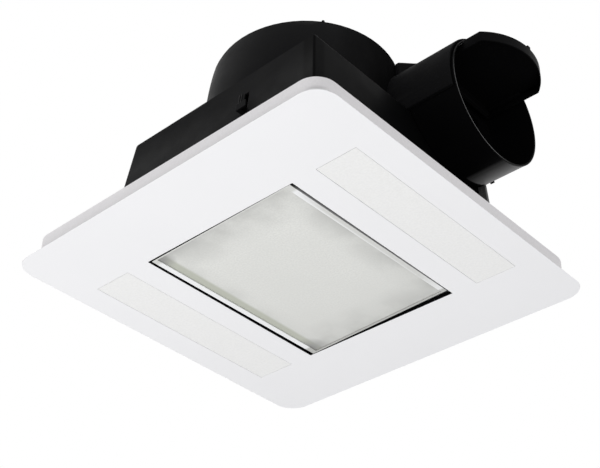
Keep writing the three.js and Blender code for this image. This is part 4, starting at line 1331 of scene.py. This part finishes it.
def make_duct_nub():
    """A round nub on the underside of the duct spigot."""
    place = duct_place(NUB_PLACE) @ Matrix.Rotation(NUB_ANGLE - math.pi / 2, 4, "X")
    foot = duct_radius() - SPIGOT_WALL / 2
    work = bmesh.new()
    prism(work, circle(NUB_RADIUS, SMALL_STEPS), foot, duct_radius() + NUB_PROUD, place)
    built_piece("duct_nub", work, "outlet_spigot", "duct_black", NUB_EDGE)


# Terminal box


def flat_level(node, direction):
    """How far out the largest face of a node lies in a direction."""
    polygons = frame["nodes"][node].data.polygons
    faces = [face for face in polygons if face.normal.dot(direction) > FACING_SHARE]
    largest = max(faces, key=lambda face: face.area)
    return largest.center.dot(direction)


def make_cover_border():
    """A raised border and three snap marks on the terminal cover."""
    low, high = box_of("terminal_cover")
    face = flat_level("terminal_cover", Vector((-1.0, 0.0, 0.0)))
    middle_y = middle_of("terminal_cover")[1]
    foot = low[2] + COVER_LUG_ROOM
    middle_z = (foot + high[2]) / 2
    half_y = (high[1] - low[1]) / 2 - BORDER_INSET
    half_z = (high[2] - foot) / 2 - BORDER_INSET
    place = Matrix.Translation((-face, middle_y, middle_z)) @ Matrix.Rotation(-math.pi / 2, 4, "Y")
    inner = box_outline(half_z - BORDER_WIDTH, half_y - BORDER_WIDTH)
    work = bmesh.new()
    sleeve(work, box_outline(half_z, half_y), inner, -WELD, BORDER_PROUD, place)
    for step in (-1, 0, 1):
        mark = place @ Matrix.Translation((half_z / 2, step * half_y / 2, 0.0))
        prism(work, box_outline(BORDER_WIDTH / 2, 2 * BORDER_WIDTH), -WELD, BORDER_PROUD, mark)
    built_piece("cover_border", work, "terminal_cover", "housing_black", BORDER_EDGE)


def make_gland():
    """A cable gland with a hexagonal collar and a ribbed dome nut."""
    low, high = box_of("cable_gland")
    middle_x, _, middle_z = middle_of("cable_gland")
    place = Matrix.Translation((middle_x, high[1], middle_z)) @ Matrix.Rotation(math.pi / 2, 4, "X")
    length = high[1] - low[1]
    nut_foot = GLAND_WALL_FACE + GLAND_COLLAR_THICK
    radii = (GLAND_BORE, GLAND_BODY, GLAND_MOUTH)
    bore, body, mouth = (circle(radius, 2 * GLAND_RIBS) for radius in radii)
    rib_shares = [1.0, 1.0 - GLAND_RIB_DEPTH / GLAND_BODY] * GLAND_RIBS
    ribbed = [(x * share, y * share) for (x, y), share in zip(body, rib_shares)]
    dome = [(bore, nut_foot), (ribbed, nut_foot), (ribbed, length - GLAND_CONE), (mouth, length)]
    work = bmesh.new()
    sleeve(work, body, bore, 0.0, GLAND_WALL_FACE, place)
    rings(work, [*dome, (bore, length), dome[0]], place)
    piece = built_piece("cable_gland_nut", work, "cable_gland", "grey_plastic")
    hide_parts("cable_gland")
    hexagon = circle(GLAND_COLLAR, GLAND_COLLAR_SIDES)
    hole = circle(GLAND_BORE, GLAND_COLLAR_SIDES)
    collar = bmesh.new()
    sleeve(collar, hexagon, hole, GLAND_WALL_FACE, nut_foot, place)
    built_piece("cable_gland_collar", collar, "cable_gland", "grey_plastic", GLAND_COLLAR_EDGE)


NODE_MOVES = {
    "fascia_plate": lip_move,
    "scroll_housing": drum_move,
    "ceiling_clamp_near": foot_move,
    "ceiling_clamp_far": foot_move,
    "heater_bezel": window_move,
    "heater_glass": window_move,
}
NODE_CUTS = {"scroll_housing": cut_drum}

make_camera()
for lamp_name, lamp_values in LAMPS.items():
    make_lamp(lamp_name, *lamp_values)
make_world()
make_floor()
bpy.context.scene.view_settings.view_transform = "Standard"
make_materials()
dress_nodes()
for soft_node, edge_width in EDGE_WIDTHS.items():
    softened(soft_node, edge_width, NODE_MOVES.get(soft_node), NODE_CUTS.get(soft_node))
make_opening_liner()
make_screws()
make_lid_ribs()
make_lid_nub()
slot_ribs("near", -1)
slot_ribs("far", 1)
make_rim()
make_flap_lug()
make_duct_nub()
make_corner_lug()
make_gland()
make_cover_border()
